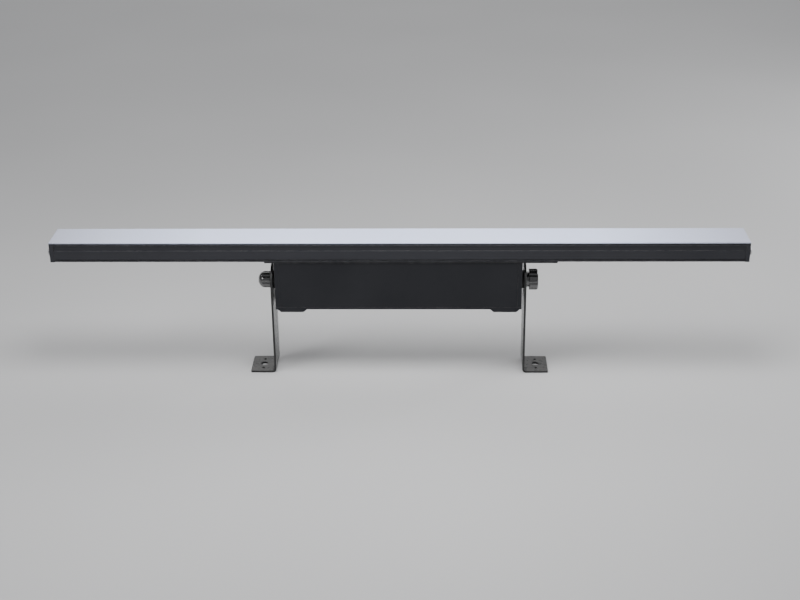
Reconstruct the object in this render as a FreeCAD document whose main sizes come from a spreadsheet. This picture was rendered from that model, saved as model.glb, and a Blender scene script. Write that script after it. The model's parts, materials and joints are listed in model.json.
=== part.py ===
import FreeCAD, Part
import Sketcher
import math
import os
import re

# An outdoor wall washer: a one metre light bar on a driver box, tilting between two floor brackets.
# X runs along the bar, Y from the front to the back, Z up from the surface that the feet are bolted to.
# The origin lies on that surface, midway between the two feet.

SIZES = [
    ("bar_long", 1000, "light bar, end to end over the end caps"),
    ("bar_wide", 56, "light bar, front to back"),
    ("bar_high", 30, "light bar, underside to top of the diffuser"),
    ("lens_thick", 1.8, "opal diffuser sheet"),
    ("lens_round", 0.8, "rounding of the diffuser's top edges"),
    ("rib_thick", 1.5, "ribs under the diffuser that locate it between the side walls"),
    ("rib_deep", 4, "depth of those ribs"),
    ("rib_end_gap", 1, "end of a rib to the end of the housing"),
    ("seam_thick", 0.6, "flat seal between diffuser and housing"),
    ("seam_inset", 0.2, "how far a seal lies back from the outside"),
    ("side_wall", 3.2, "side walls of the housing"),
    ("edge_cut", 1.2, "chamfer along the housing's lower edges"),
    ("groove_low", 2.2, "height of the side groove's lower edge"),
    ("groove_wide", 1.8, "width of the side groove"),
    ("groove_deep", 1.5, "depth of the side groove"),
    ("band_high", 13.3, "flat band above the groove"),
    ("recess_deep", 1.1, "shallow recess above the band"),
    ("lip_high", 1.5, "lip along the housing, above the recess"),
    ("shadow_high", 1.6, "set-back strip between that lip and the diffuser"),
    ("shadow_deep", 0.9, "how far that strip is set back"),
    ("web_low", 12, "underside of the shelf that carries the light boards"),
    ("web_thick", 3, "that shelf"),
    ("port_inset", 8, "screw channels, in from the housing's sides"),
    ("port_radius", 2.5, "screw channels"),
    ("port_block", 11, "square of metal round each screw channel"),
    ("slot_mouth", 14, "opening of the mounting slot in the underside"),
    ("slot_room", 43, "width of the mounting slot inside"),
    ("slot_lip", 2.6, "lips on both sides of the slot"),
    ("cap_thick", 6, "end caps"),
    ("cap_seal", 0.5, "end cap seals"),
    ("cap_edge", 0.4, "chamfer round the outer face of an end cap"),
    ("plug_long", 4, "tongue of an end cap inside the housing"),
    ("plug_high", 4.6, "height of that tongue"),
    ("fit_gap", 0.4, "clearance round pieces that slide together"),
    ("cap_head_radius", 5.6, "end cap screws"),
    ("cap_head_high", 2.2, "end cap screws"),
    ("cap_screw_radius", 2.45, "end cap screws"),
    ("cap_screw_bite", 12, "end cap screws, thread in the housing"),
    ("cap_washer_radius", 5.8, "sealing washers under the end cap screws"),
    ("cap_washer_thick", 0.6, "sealing washers under the end cap screws"),
    ("board_wide", 27, "light boards"),
    ("board_thick", 1.6, "light boards"),
    ("board_gap", 16, "space between the two boards, for the connector"),
    ("board_end_gap", 3, "board to end of housing"),
    ("chip_wide", 5, "light sources"),
    ("chip_high", 1.6, "light sources"),
    ("chip_count", 18, "light sources on one board"),
    ("chip_margin", 14, "first light source from the end of its board"),
    ("connector_long", 11, "connector in the middle of the bar"),
    ("connector_wide", 14, "connector in the middle of the bar"),
    ("connector_high", 6, "connector in the middle of the bar"),
    ("connector_hole", 4, "depth of the connector's lead hole"),
    ("saddle_over_left", 13.5, "plate between bar and driver box, out past the box on the left"),
    ("saddle_over_right", 49.5, "plate between bar and driver box, out past the box on the right"),
    ("saddle_wide", 54, "plate between bar and driver box"),
    ("saddle_thick", 2, "plate between bar and driver box"),
    ("saddle_screw_over", 33.5, "outer plate screw, out past the right end of the box"),
    ("top_screw_inset", 18.5, "inner plate screws, in from each end of the box"),
    ("nut_wide", 24, "sliding nuts"),
    ("nut_long", 16, "sliding nuts"),
    ("nut_thick", 4, "sliding nuts"),
    ("plate_head_radius", 4.6, "plate screws"),
    ("plate_head_high", 2.8, "plate screws"),
    ("plate_screw_radius", 2.45, "plate screws"),
    ("screw_play", 0.05, "radial clearance of a screw or stud in its hole"),
    ("tip_narrow", 0.8, "pan head screws: end of the thread, as a share of its radius"),
    ("head_side", 0.55, "pan head screws: upright side, as a share of the head's height"),
    ("shoulder_high", 0.9, "pan head screws: height of the shoulder, as a share of the head's"),
    ("shoulder_wide", 0.85, "pan head screws: radius of the shoulder, as a share of the head's"),
    ("head_flat", 0.6, "pan head screws: radius of the flat top, as a share of the head's"),
    ("box_long", 357, "driver box over its end plates"),
    ("box_deep", 52, "driver box, front to back"),
    ("box_high", 73, "driver box"),
    ("box_wall", 2.5, "driver box walls"),
    ("box_round", 1.2, "rounding of the box's long upper edges"),
    ("end_plate_thick", 6, "end plates of the box"),
    ("end_plate_edge", 0.6, "chamfer round the outer face of an end plate"),
    ("box_seal", 0.5, "seals of the box"),
    ("post_wide", 10, "screw posts in the corners of the box"),
    ("cover_thick", 3, "bottom cover of the box"),
    ("tab_inset", 24, "middle of a finger tab, in from the cover's end"),
    ("tab_wide", 43, "finger tabs of the cover where they leave it"),
    ("tab_high", 4.4, "finger tabs of the cover"),
    ("tab_slope", 5, "slanted ends of the finger tabs"),
    ("tab_thick", 3, "finger tabs of the cover"),
    ("flush_head_radius", 4, "countersunk screws of the box"),
    ("flush_screw_radius", 1.95, "countersunk screws of the box"),
    ("socket_share", 1.05, "hexagon socket of a screw across the flats, as a share of the head's radius"),
    ("socket_deep", 1.3, "hexagon socket of a screw"),
    ("post_bite", 8, "countersunk screws, thread in the posts"),
    ("drill_over", 1, "how much deeper or wider a hole is drilled than its screw or lead needs"),
    ("plate_screw_high", 18, "end plate screws above and below the pivot"),
    ("driver_long", 110, "driver"),
    ("driver_deep", 40, "driver"),
    ("driver_high", 30, "driver"),
    ("driver_foot_long", 8, "mounting feet of the driver"),
    ("driver_foot_thick", 3, "mounting feet of the driver"),
    ("small_head_radius", 3.4, "screws inside the box"),
    ("small_head_high", 2.2, "screws inside the box"),
    ("small_screw_radius", 1.7, "screws inside the box"),
    ("terminal_inset", 118.5, "middle of the terminal block, in from the left end of the box"),
    ("terminal_long", 44, "terminal block"),
    ("terminal_deep", 20, "terminal block"),
    ("terminal_high", 16, "terminal block"),
    ("terminal_screw_apart", 22, "terminal block screws"),
    ("wire_way_radius", 2, "wire entries of the terminal block"),
    ("wire_way_pitch", 6, "wire entries of the terminal block"),
    ("earth_inset", 83.5, "earth screw, in from the left end of the box"),
    ("lead_radius", 2, "lead from the driver to the light boards"),
    ("lead_drop", 21, "that lead below the box's top where it leaves the driver"),
    ("lead_bend", 8, "bend of that lead"),
    ("feed_radius", 2.5, "lead from the terminal block to the driver"),
    ("feed_back", 6, "that lead, back from the middle of the box"),
    ("feed_drop", 12, "that lead below the box's top"),
    ("grommet_radius", 5, "grommet where the lead leaves the box"),
    ("grommet_rim", 1.4, "grommet rims: height and overhang"),
    ("gland_inset", 68.5, "cable gland, in from the left end of the box"),
    ("gland_across", 22, "cable gland, across the flats"),
    ("gland_thread_radius", 8, "cable gland"),
    ("gland_bore_radius", 5.2, "cable gland body"),
    ("gland_flange", 5, "cable gland, hexagon against the box"),
    ("gland_inner_long", 8, "cable gland, thread inside the box"),
    ("gland_outer_long", 10, "cable gland, thread outside the hexagon"),
    ("gland_seal_radius", 6.6, "cable gland seal"),
    ("gland_seal_long", 8, "cable gland seal"),
    ("cable_radius", 4, "hole of the seal, for the supply cable"),
    ("gland_nut_wall", 2, "cable gland dome nut, end wall"),
    ("gland_nut_gap", 1, "cable gland dome nut off the hexagon"),
    ("locknut_thick", 4, "cable gland locknut"),
    ("pivot_height", 140, "tilt axis above the mounting surface"),
    ("pivot_gap", 3.5, "friction washers between box and brackets"),
    ("friction_radius", 13, "friction washers"),
    ("stud_radius", 4, "pivot studs"),
    ("stud_tip_edge", 1, "chamfer round the end of a pivot stud"),
    ("stud_grip", 11, "pivot stud inside its knob"),
    ("stud_flange_radius", 9, "flange of a stud inside the box"),
    ("stud_flange_thick", 3, "flange of a stud inside the box"),
    ("washer_radius", 10, "steel washers under the knobs"),
    ("washer_thick", 1.6, "steel washers under the knobs"),
    ("insert_radius", 6.5, "threaded inserts of the knobs"),
    ("insert_long", 12, "threaded inserts of the knobs"),
    ("dome_radius", 12, "left knob"),
    ("dome_skirt", 8, "left knob, straight part"),
    ("dome_rise", 10, "left knob, domed part"),
    ("neck_radius", 11.2, "right knob, neck"),
    ("neck_long", 2.8, "right knob, neck"),
    ("grip_radius", 15.5, "right knob, grip"),
    ("grip_long", 13.2, "right knob, grip"),
    ("grip_round", 3, "right knob, rounding of the grip's outer rim"),
    ("flute_count", 8, "finger flutes of each knob"),
    ("flute_radius", 3, "finger flutes of each knob"),
    ("flute_deep", 1.4, "finger flutes of each knob"),
    ("strip_wide", 50, "bracket strip"),
    ("strip_thick", 3, "bracket strip"),
    ("bend_inside", 3, "inner radius of the bracket's bend"),
    ("foot_out", 35, "bracket foot, out from the strip"),
    ("foot_corner", 2, "rounded corners of a foot"),
    ("bolt_radius", 5.25, "main hole of a foot"),
    ("pin_hole_radius", 2.1, "small holes of a foot"),
    ("pin_hole_apart", 28, "small holes of a foot, centre to centre"),
]
NAMES = {name for name, size, meaning in SIZES}
SPARE = "200"  # a cut this deep passes through anything here

# Places that follow from the sizes.
BAR_UNDER = "(pivot_height + box_high / 2 + saddle_thick)"
HOUSING_LONG = "(bar_long - 2 * cap_thick - 2 * cap_seal)"
HOUSING_HIGH = "(bar_high - lens_thick - seam_thick)"
INNER_HALF = "(bar_wide / 2 - side_wall)"
WEB_TOP = "(web_low + web_thick)"
PORT_Y = "(bar_wide / 2 - port_inset)"
PORT_Z = "(web_low + web_thick / 2)"
BLOCK_IN = f"({PORT_Y} - port_block / 2)"
BLOCK_TOP = f"({PORT_Z} + port_block / 2)"
BLOCK_LOW = f"({PORT_Z} - port_block / 2)"
BOARD_LONG = f"({HOUSING_LONG} / 2 - board_gap / 2 - board_end_gap)"
BOARD_SCREW_IN = "(board_gap / 2 + chip_margin / 2)"
BOARD_SCREW_OUT = f"(board_gap / 2 + {BOARD_LONG} - chip_margin / 2)"
TOP_INSIDE = "(pivot_height + box_high / 2 - box_wall)"
SHELL_LONG = "(box_long - 2 * end_plate_thick - 2 * box_seal)"
SHELL_LOW = "(cover_thick + box_seal - box_high / 2)"
POST_X = f"({SHELL_LONG} / 2 - post_wide / 2)"
POST_Y = "(box_deep / 2 - box_wall - post_wide / 2)"
DRIVER_FOOT_X = "(driver_long / 2 + driver_foot_long / 2)"
TERMINAL_AT = "(box_long / 2 - terminal_inset)"
EARTH_AT = "(box_long / 2 - earth_inset)"
GLAND_AT = "(box_long / 2 - gland_inset)"
TAB_AT = "(box_long / 2 - tab_inset)"
OUTER_SCREW = "(box_long / 2 + saddle_screw_over)"
INNER_SCREW = "(box_long / 2 - top_screw_inset)"
DRIVER_AT = f"((grommet_radius + grommet_rim + {INNER_SCREW} - plate_head_radius) / 2)"
PLATE_SCREWS = [OUTER_SCREW, INNER_SCREW, f"-{INNER_SCREW}"]
STRIP_INNER = "(box_long / 2 + pivot_gap)"
STRIP_OUTER = "(box_long / 2 + pivot_gap + strip_thick)"
KNOB_SEAT = "(box_long / 2 + pivot_gap + strip_thick + washer_thick)"
FOOT_MIDDLE = "(strip_thick + foot_out / 2)"
BACK_WALL = "(box_deep / 2)"

doc = FreeCAD.newDocument("wall_washer_light")
sheet = doc.addObject("Spreadsheet::Sheet", "Sizes")
for row, (name, size, meaning) in enumerate(SIZES, start=1):
    sheet.set(f"A{row}", meaning)
    sheet.set(f"B{row}", str(size))
    sheet.setAlias(f"B{row}", name)
doc.recompute()

pieces = []

# Which way a piece's own Z axis points once it is in place.
FACING = {
    "up": FreeCAD.Rotation(),
    "down": FreeCAD.Rotation(FreeCAD.Vector(1, 0, 0), 180),
    "back": FreeCAD.Rotation(FreeCAD.Vector(1, 0, 0), -90),
    "right": FreeCAD.Rotation(FreeCAD.Vector(0, 1, 0), 90),
    "left": FreeCAD.Rotation(FreeCAD.Vector(0, 1, 0), -90),
    "turned": FreeCAD.Rotation(FreeCAD.Vector(0, 0, 1), 180),
}


def bound(text):
    """The same sum, with every size name pointing at its cell of the sheet."""
    return re.sub(r"[a-z_]+", lambda word: "Sizes." + word[0] if word[0] in NAMES else word[0], text)


def value(text):
    return float(sheet.evalExpression(bound(text)))


def tie(thing, what, text):
    thing.setExpression(what, bound(text))


def put(piece, x="0", y="0", z="0", facing="up"):
    """Give a finished piece its place in the light, and list it for the hand-over."""
    piece.Placement = FreeCAD.Placement(FreeCAD.Vector(), FACING[facing])
    for axis, text in zip("xyz", (x, y, z)):
        tie(piece, f"Placement.Base.{axis}", text)
    pieces.append(piece)
    return piece


def new_body(label):
    return doc.addObject("PartDesign::Body", label)


def plane(body, role):
    return next(part for part in body.Origin.OriginFeatures if part.Role == role)


def draw(body, role, name, shift="0"):
    """An empty sketch on one of the body's planes, moved along the plane's normal."""
    sketch = body.newObject("Sketcher::SketchObject", f"{body.Name}_{name}")
    sketch.AttachmentSupport = [(plane(body, role), "")]
    sketch.MapMode = "FlatFace"
    tie(sketch, "AttachmentOffset.Base.z", shift)
    return sketch


def fix_point(sketch, line, end, x, y):
    """Hold one end of a line or arc at the place that the two sums give."""
    for kind, text in (("DistanceX", x), ("DistanceY", y)):
        number = sketch.addConstraint(Sketcher.Constraint(kind, -1, 1, line, end, value(text)))
        tie(sketch, f"Constraints[{number}]", text)


def add_arc(sketch, start, end, radius, middle):
    """Arc of less than a half turn. Returns which of its ends, 1 or 2, lies at the start."""
    turns = [math.atan2(spot.y - middle.y, spot.x - middle.x) for spot in (start, end)]
    anticlockwise = (turns[1] - turns[0]) % (2 * math.pi) < math.pi
    low, high = turns if anticlockwise else reversed(turns)
    whole = Part.Circle(middle, FreeCAD.Vector(0, 0, 1), value(radius))
    line = sketch.addGeometry(Part.ArcOfCircle(whole, low, high), False)
    number = sketch.addConstraint(Sketcher.Constraint("Radius", line, value(radius)))
    tie(sketch, f"Constraints[{number}]", radius)
    return 1 if anticlockwise else 2


def trace(sketch, points, closed=True):
    """Lines and arcs from point to point. A point is two sums of sizes, x and y.

    Where an arc leads to it, three more follow: the arc's radius and its centre's x and y.
    """
    spots = [FreeCAD.Vector(value(point[0]), value(point[1]), 0) for point in points]
    count = len(points) if closed else len(points) - 1
    starts = []
    for i in range(count):
        after = (i + 1) % len(points)
        goal = points[after]
        if len(goal) == 2:
            sketch.addGeometry(Part.LineSegment(spots[i], spots[after]), False)
            starts.append(1)
        else:
            middle = FreeCAD.Vector(value(goal[3]), value(goal[4]), 0)
            starts.append(add_arc(sketch, spots[i], spots[after], goal[2], middle))
    first = sketch.GeometryCount - count
    for i in range(count if closed else count - 1):
        after = (i + 1) % count
        joined = (first + i, 3 - starts[i], first + after, starts[after])
        sketch.addConstraint(Sketcher.Constraint("Coincident", *joined))
    for i in range(count):
        fix_point(sketch, first + i, starts[i], points[i][0], points[i][1])
    if not closed:
        fix_point(sketch, first + count - 1, 3 - starts[-1], points[-1][0], points[-1][1])
    return sketch


def box_outline(sketch, x_low, x_high, y_low, y_high):
    return trace(sketch, [(x_low, y_low), (x_high, y_low), (x_high, y_high), (x_low, y_high)])


def centred(sketch, wide, high):
    """A rectangle centred on the sketch's origin."""
    return box_outline(sketch, f"-({wide}) / 2", f"({wide}) / 2", f"-({high}) / 2", f"({high}) / 2")


def circle(sketch, x, y, radius):
    middle = FreeCAD.Vector(value(x), value(y), 0)
    line = sketch.addGeometry(Part.Circle(middle, FreeCAD.Vector(0, 0, 1), value(radius)), False)
    fix_point(sketch, line, 3, x, y)
    number = sketch.addConstraint(Sketcher.Constraint("Radius", line, value(radius)))
    tie(sketch, f"Constraints[{number}]", radius)
    return sketch


def hexagon(sketch, across, x="0", y="0"):
    """A regular hexagon about the spot x, y, with two corners on the line along x."""
    corner = f"({across}) / sqrt(3)"
    half = f"({across}) / 2"
    return trace(sketch, [
        (f"{x} + {corner}", y), (f"{x} + {corner} / 2", f"{y} + {half}"),
        (f"{x} - {corner} / 2", f"{y} + {half}"), (f"{x} - {corner}", y),
        (f"{x} - {corner} / 2", f"{y} - {half}"), (f"{x} + {corner} / 2", f"{y} - {half}"),
    ])


def pad(body, sketch, length, both_ways=False, flip=False):
    feature = body.newObject("PartDesign::Pad", f"{sketch.Name}_pad")
    feature.Profile = sketch
    tie(feature, "Length", length)
    feature.SideType = "Symmetric" if both_ways else "One side"
    feature.Reversed = flip
    sketch.Visibility = False
    doc.recompute()
    return feature


def cut(body, sketch, length=SPARE, both_ways=True, flip=False):
    """Take the sketch's outline out of the body, and make sure that it took something."""
    before = body.Shape.Volume
    feature = body.newObject("PartDesign::Pocket", f"{sketch.Name}_cut")
    feature.Profile = sketch
    tie(feature, "Length", length)
    feature.SideType = "Symmetric" if both_ways else "One side"
    feature.Reversed = flip
    sketch.Visibility = False
    doc.recompute()
    if body.Shape.Volume > before - 1e-6:
        raise RuntimeError(f"{sketch.Name} cuts nothing")
    return feature


def spin(body, corners, name="profile", x="0", y="0"):
    """A turned piece: the outline is radius and height, and its axis is parallel to the body's Z."""
    sketch = draw(body, "XZ_Plane", name, f"-({y})")
    tie(sketch, "AttachmentOffset.Base.x", x)
    trace(sketch, corners)
    feature = body.newObject("PartDesign::Revolution", f"{sketch.Name}_turn")
    feature.Profile = sketch
    feature.ReferenceAxis = (sketch, ["V_Axis"])
    feature.Angle = 360
    sketch.Visibility = False
    doc.recompute()
    return feature


def mirrored(body, feature, role):
    copy = body.newObject("PartDesign::Mirrored", f"{feature.Name}_mirrored")
    copy.Originals = [feature]
    copy.MirrorPlane = (plane(body, role), [""])
    body.Tip = copy
    doc.recompute()
    return copy


def row_of(body, feature, role, length, count):
    copy = body.newObject("PartDesign::LinearPattern", f"{feature.Name}_row")
    copy.Originals = [feature]
    copy.Direction = (plane(body, role), [""])
    tie(copy, "Length", length)
    tie(copy, "Occurrences", count)
    body.Tip = copy
    doc.recompute()
    return copy


def ring_of(body, feature, count):
    copy = body.newObject("PartDesign::PolarPattern", f"{feature.Name}_ring")
    copy.Originals = [feature]
    copy.Axis = (plane(body, "Z_Axis"), [""])
    copy.Angle = 360
    tie(copy, "Occurrences", count)
    body.Tip = copy
    doc.recompute()
    return copy


def edges_where(shape, test):
    """Names of the straight edges whose middle and direction pass the test."""
    names = []
    for number, edge in enumerate(shape.Edges, start=1):
        if not isinstance(edge.Curve, Part.Line):
            continue
        middle = edge.valueAt((edge.FirstParameter + edge.LastParameter) / 2)
        if test(middle, edge.tangentAt(edge.FirstParameter)):
            names.append(f"Edge{number}")
    return names


def near(a, b):
    return abs(a - b) < 1e-4


def dress(body, kind, size_name, size, test):
    """Round or chamfer the edges that pass the test."""
    base = body.Tip
    names = edges_where(base.Shape, test)
    if not names:
        raise RuntimeError(f"{body.Name} has no edge to dress")
    feature = body.newObject(f"PartDesign::{kind}", f"{base.Name}_{kind.lower()}")
    feature.Base = (base, names)
    tie(feature, size_name, size)
    doc.recompute()
    return feature


def round_edges(body, radius, test):
    return dress(body, "Fillet", "Radius", radius, test)


def chamfer_edges(body, size, test):
    return dress(body, "Chamfer", "Size", size, test)


def countersink(body, sketch, flip=False):
    """Holes for countersunk screws, widest at the sketch's plane."""
    feature = body.newObject("PartDesign::Hole", f"{sketch.Name}_hole")
    feature.Profile = sketch
    doc.recompute()
    feature.ThreadType = "None"
    feature.HoleCutType = "Countersink"
    feature.HoleCutCountersinkAngle = 90
    feature.DepthType = "ThroughAll"
    feature.Reversed = flip
    tie(feature, "Diameter", "2 * (flush_screw_radius + screw_play)")
    tie(feature, "HoleCutDiameter", "2 * (flush_head_radius + screw_play)")
    sketch.Visibility = False
    before = feature.BaseFeature.Shape.Volume
    doc.recompute()
    if body.Shape.Volume > before - 1e-6:
        raise RuntimeError(f"{sketch.Name} cuts nothing")
    return feature


def pan_profile(head_radius, head_high, radius, long):
    """Half a section of a pan head screw: head above height 0, shank below."""
    return [
        ("0", f"-({long})"), (f"{radius} * tip_narrow", f"-({long})"),
        (radius, f"-({long}) + {radius} * (1 - tip_narrow)"), (radius, "0"), (head_radius, "0"),
        (head_radius, f"{head_high} * head_side"),
        (f"{head_radius} * shoulder_wide", f"{head_high} * shoulder_high"),
        (f"{head_radius} * head_flat", head_high), ("0", head_high),
    ]


def flush_profile(long):
    """Half a section of a countersunk screw, with the top of its head at height 0."""
    return [
        ("0", f"-({long})"), ("flush_screw_radius", f"-({long})"),
        ("flush_screw_radius", "flush_screw_radius - flush_head_radius"),
        ("flush_head_radius", "0"), ("0", "0"),
    ]


def small_profile(long):
    return pan_profile("small_head_radius", "small_head_high", "small_screw_radius", long)


def screws(label, profile, spots):
    """A group of equal screws in one body, each at its own spot, with a hexagon socket in each head."""
    body = new_body(label)
    for number, (x, y) in enumerate(spots, start=1):
        spin(body, profile, f"screw_{number}", x, y)
    head_radius = next(radius for radius, high in profile if "head_radius" in radius)
    head_top = profile[-1][1]
    sockets = draw(body, "XY_Plane", "sockets", head_top)
    for x, y in spots:
        hexagon(sockets, f"({head_radius} * socket_share)", x, y)
    cut(body, sockets, "socket_deep", both_ways=False)
    return body


def both(size):
    """The same distance to either side of the middle."""
    return [size, f"-{size}"]


def corners_of(x, y):
    """The four spots at plus and minus x and y."""
    return [(one, other) for one in both(x) for other in both(y)]


# The light bar.

def housing_side():
    """The side of the housing as height and depth from the outside, from bottom to top."""
    groove_top = "groove_low + groove_wide"
    band_top = f"{groove_top} + band_high"
    lip_top = f"{HOUSING_HIGH} - shadow_high"
    lip_low = f"{lip_top} - lip_high"
    return [
        ("edge_cut", "0"), ("0", "edge_cut"),
        ("0", "groove_low"), ("groove_deep", "groove_low"), ("groove_deep", groove_top), ("0", groove_top),
        ("0", band_top), ("recess_deep", band_top), ("recess_deep", lip_low), ("0", lip_low),
        ("0", lip_top), ("shadow_deep", lip_top), ("shadow_deep", HOUSING_HIGH),
    ]


def housing_extrusion():
    """Channel with a board shelf, four blocks for the screw channels and a slot for sliding nuts."""
    body = new_body("housing_extrusion")
    side = housing_side()
    right = [(f"bar_wide / 2 - {inset}", high) for inset, high in side]
    left = [(f"{inset} - bar_wide / 2", high) for inset, high in reversed(side)]
    pad(body, trace(draw(body, "YZ_Plane", "outside"), right + left), HOUSING_LONG, both_ways=True)
    cut(body, trace(draw(body, "YZ_Plane", "light_room"), [
        (f"-{BLOCK_IN}", WEB_TOP), (BLOCK_IN, WEB_TOP), (BLOCK_IN, BLOCK_TOP), (INNER_HALF, BLOCK_TOP),
        (INNER_HALF, "bar_high"), (f"-{INNER_HALF}", "bar_high"), (f"-{INNER_HALF}", BLOCK_TOP),
        (f"-{BLOCK_IN}", BLOCK_TOP),
    ]), "bar_long")
    cut(body, trace(draw(body, "YZ_Plane", "nut_slot"), [
        ("-slot_mouth / 2", "-1"), ("slot_mouth / 2", "-1"), ("slot_mouth / 2", "slot_lip"),
        ("slot_room / 2", "slot_lip"), ("slot_room / 2", BLOCK_LOW), (BLOCK_IN, BLOCK_LOW),
        (BLOCK_IN, "web_low"), (f"-{BLOCK_IN}", "web_low"), (f"-{BLOCK_IN}", BLOCK_LOW),
        ("-slot_room / 2", BLOCK_LOW), ("-slot_room / 2", "slot_lip"), ("-slot_mouth / 2", "slot_lip"),
    ]), "bar_long")
    ports = draw(body, "YZ_Plane", "screw_channels")
    for y in both(PORT_Y):
        circle(ports, y, PORT_Z, "port_radius")
    cut(body, ports, "bar_long")
    shelf_holes = circle(draw(body, "XY_Plane", "shelf_holes"), "0", "0", "lead_radius + drill_over")
    for place in both(BOARD_SCREW_IN) + both(BOARD_SCREW_OUT):
        circle(shelf_holes, place, "0", "small_screw_radius + screw_play")
    cut(body, shelf_holes, "bar_high * 2")
    put(body, z=BAR_UNDER)


def diffuser_lens():
    """Opal sheet over the whole top of the bar, with two ribs that stand inside the housing's walls."""
    body = new_body("diffuser_lens")
    pad(body, centred(draw(body, "XY_Plane", "sheet"), "bar_long", "bar_wide"), "lens_thick")
    top = value("lens_thick")
    round_edges(body, "lens_round", lambda middle, along: near(middle.z, top))
    ribs = draw(body, "XY_Plane", "ribs")
    rib_end = f"({HOUSING_LONG} / 2 - rib_end_gap)"
    for sign in ("", "-"):
        far = f"{sign}({INNER_HALF} - fit_gap)"
        box_outline(ribs, f"-{rib_end}", rib_end, f"{far} - {sign}rib_thick", far)
    pad(body, ribs, "rib_deep", flip=True)
    put(body, z=f"{BAR_UNDER} + {HOUSING_HIGH} + seam_thick")


def lens_gasket():
    """Flat seal that goes all the way round under the edge of the diffuser."""
    body = new_body("lens_gasket")
    frame = draw(body, "XY_Plane", "frame")
    centred(frame, "bar_long - 2 * seam_inset", "bar_wide - 2 * (shadow_deep + seam_inset)")
    pad(body, frame, "seam_thick")
    cut(body, centred(draw(body, "XY_Plane", "window"), HOUSING_LONG, f"2 * {INNER_HALF}"))
    put(body, z=f"{BAR_UNDER} + {HOUSING_HIGH}")


def cap_screw_holes(body, radius):
    holes = draw(body, "YZ_Plane", "screw_holes")
    for y in both(PORT_Y):
        circle(holes, y, PORT_Z, radius)
    cut(body, holes)


def end_cap(side, facing, sign):
    """Solid cap with a tongue that reaches into the housing under the diffuser's ribs."""
    body = new_body(f"end_cap_{side}")
    plate = box_outline(draw(body, "YZ_Plane", "plate"), "-bar_wide / 2", "bar_wide / 2", "0", HOUSING_HIGH)
    pad(body, plate, "cap_thick")
    face = value("cap_thick")
    top = value(HOUSING_HIGH)
    chamfer_edges(body, "cap_edge", lambda middle, along: near(middle.x, face) and not near(middle.z, top))
    tongue = box_outline(
        draw(body, "YZ_Plane", "tongue"), f"fit_gap - {INNER_HALF}", f"{INNER_HALF} - fit_gap",
        f"{BLOCK_TOP} + fit_gap", f"{BLOCK_TOP} + fit_gap + plug_high")
    pad(body, tongue, "cap_seal + plug_long", flip=True)
    cap_screw_holes(body, "cap_screw_radius + fit_gap")
    put(body, x=f"{sign}(bar_long / 2 - cap_thick)", z=BAR_UNDER, facing=facing)


def end_cap_seal(side, facing, sign):
    """Sheet seal behind an end cap, open for the tongue and the screws."""
    body = new_body(f"end_cap_seal_{side}")
    sheet_outline = box_outline(
        draw(body, "YZ_Plane", "sheet"), "seam_inset - bar_wide / 2", "bar_wide / 2 - seam_inset",
        "seam_inset", HOUSING_HIGH)
    pad(body, sheet_outline, "cap_seal")
    window = box_outline(
        draw(body, "YZ_Plane", "window"), f"-{INNER_HALF}", INNER_HALF, BLOCK_TOP,
        f"{BLOCK_TOP} + plug_high + 2 * fit_gap")
    cut(body, window)
    cap_screw_holes(body, "cap_screw_radius + fit_gap")
    put(body, x=f"{sign}{HOUSING_LONG} / 2", z=BAR_UNDER, facing=facing)


def end_cap_screws(side, facing, sign):
    profile = pan_profile("cap_head_radius", "cap_head_high", "cap_screw_radius",
                          "cap_washer_thick + cap_thick + cap_seal + cap_screw_bite")
    body = screws(f"end_cap_screws_{side}", profile, [("0", place) for place in both(PORT_Y)])
    seat = f"{sign}(bar_long / 2 + cap_washer_thick)"
    put(body, x=seat, z=f"{BAR_UNDER} + {PORT_Z}", facing=facing)


def end_cap_washers(side, facing, sign):
    """Soft washers that keep water out of the screw channels."""
    body = new_body(f"end_cap_washers_{side}")
    rings = draw(body, "XY_Plane", "rings")
    holes = draw(body, "XY_Plane", "holes")
    for y in both(PORT_Y):
        circle(rings, "0", y, "cap_washer_radius")
        circle(holes, "0", y, "cap_screw_radius + screw_play")
    pad(body, rings, "cap_washer_thick")
    cut(body, holes)
    put(body, x=f"{sign}bar_long / 2", z=f"{BAR_UNDER} + {PORT_Z}", facing=facing)


def led_board(side, facing, sign):
    body = new_body(f"led_board_{side}")
    strip = draw(body, "XY_Plane", "strip")
    box_outline(strip, "0", BOARD_LONG, "-board_wide / 2", "board_wide / 2")
    pad(body, strip, "board_thick")
    holes = draw(body, "XY_Plane", "screw_holes")
    for place in ("chip_margin / 2", f"{BOARD_LONG} - chip_margin / 2"):
        circle(holes, place, "0", "small_screw_radius + screw_play")
    cut(body, holes)
    put(body, x=f"{sign}board_gap / 2", z=f"{BAR_UNDER} + {WEB_TOP}", facing=facing)


def led_chips(side, facing, sign):
    body = new_body(f"led_chips_{side}")
    first = box_outline(
        draw(body, "XY_Plane", "first"), "chip_margin - chip_wide / 2", "chip_margin + chip_wide / 2",
        "-chip_wide / 2", "chip_wide / 2")
    chip = pad(body, first, "chip_high")
    row_of(body, chip, "X_Axis", f"{BOARD_LONG} - 2 * chip_margin", "chip_count")
    put(body, x=f"{sign}board_gap / 2", z=f"{BAR_UNDER} + {WEB_TOP} + board_thick", facing=facing)


def board_connector():
    body = new_body("board_connector")
    pad(body, centred(draw(body, "XY_Plane", "block"), "connector_long", "connector_wide"), "connector_high")
    cut(body, circle(draw(body, "XY_Plane", "lead_hole"), "0", "0", "lead_radius + screw_play"),
        "2 * connector_hole")
    put(body, z=f"{BAR_UNDER} + {WEB_TOP}")


# The plate that joins the bar to the box.

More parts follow.
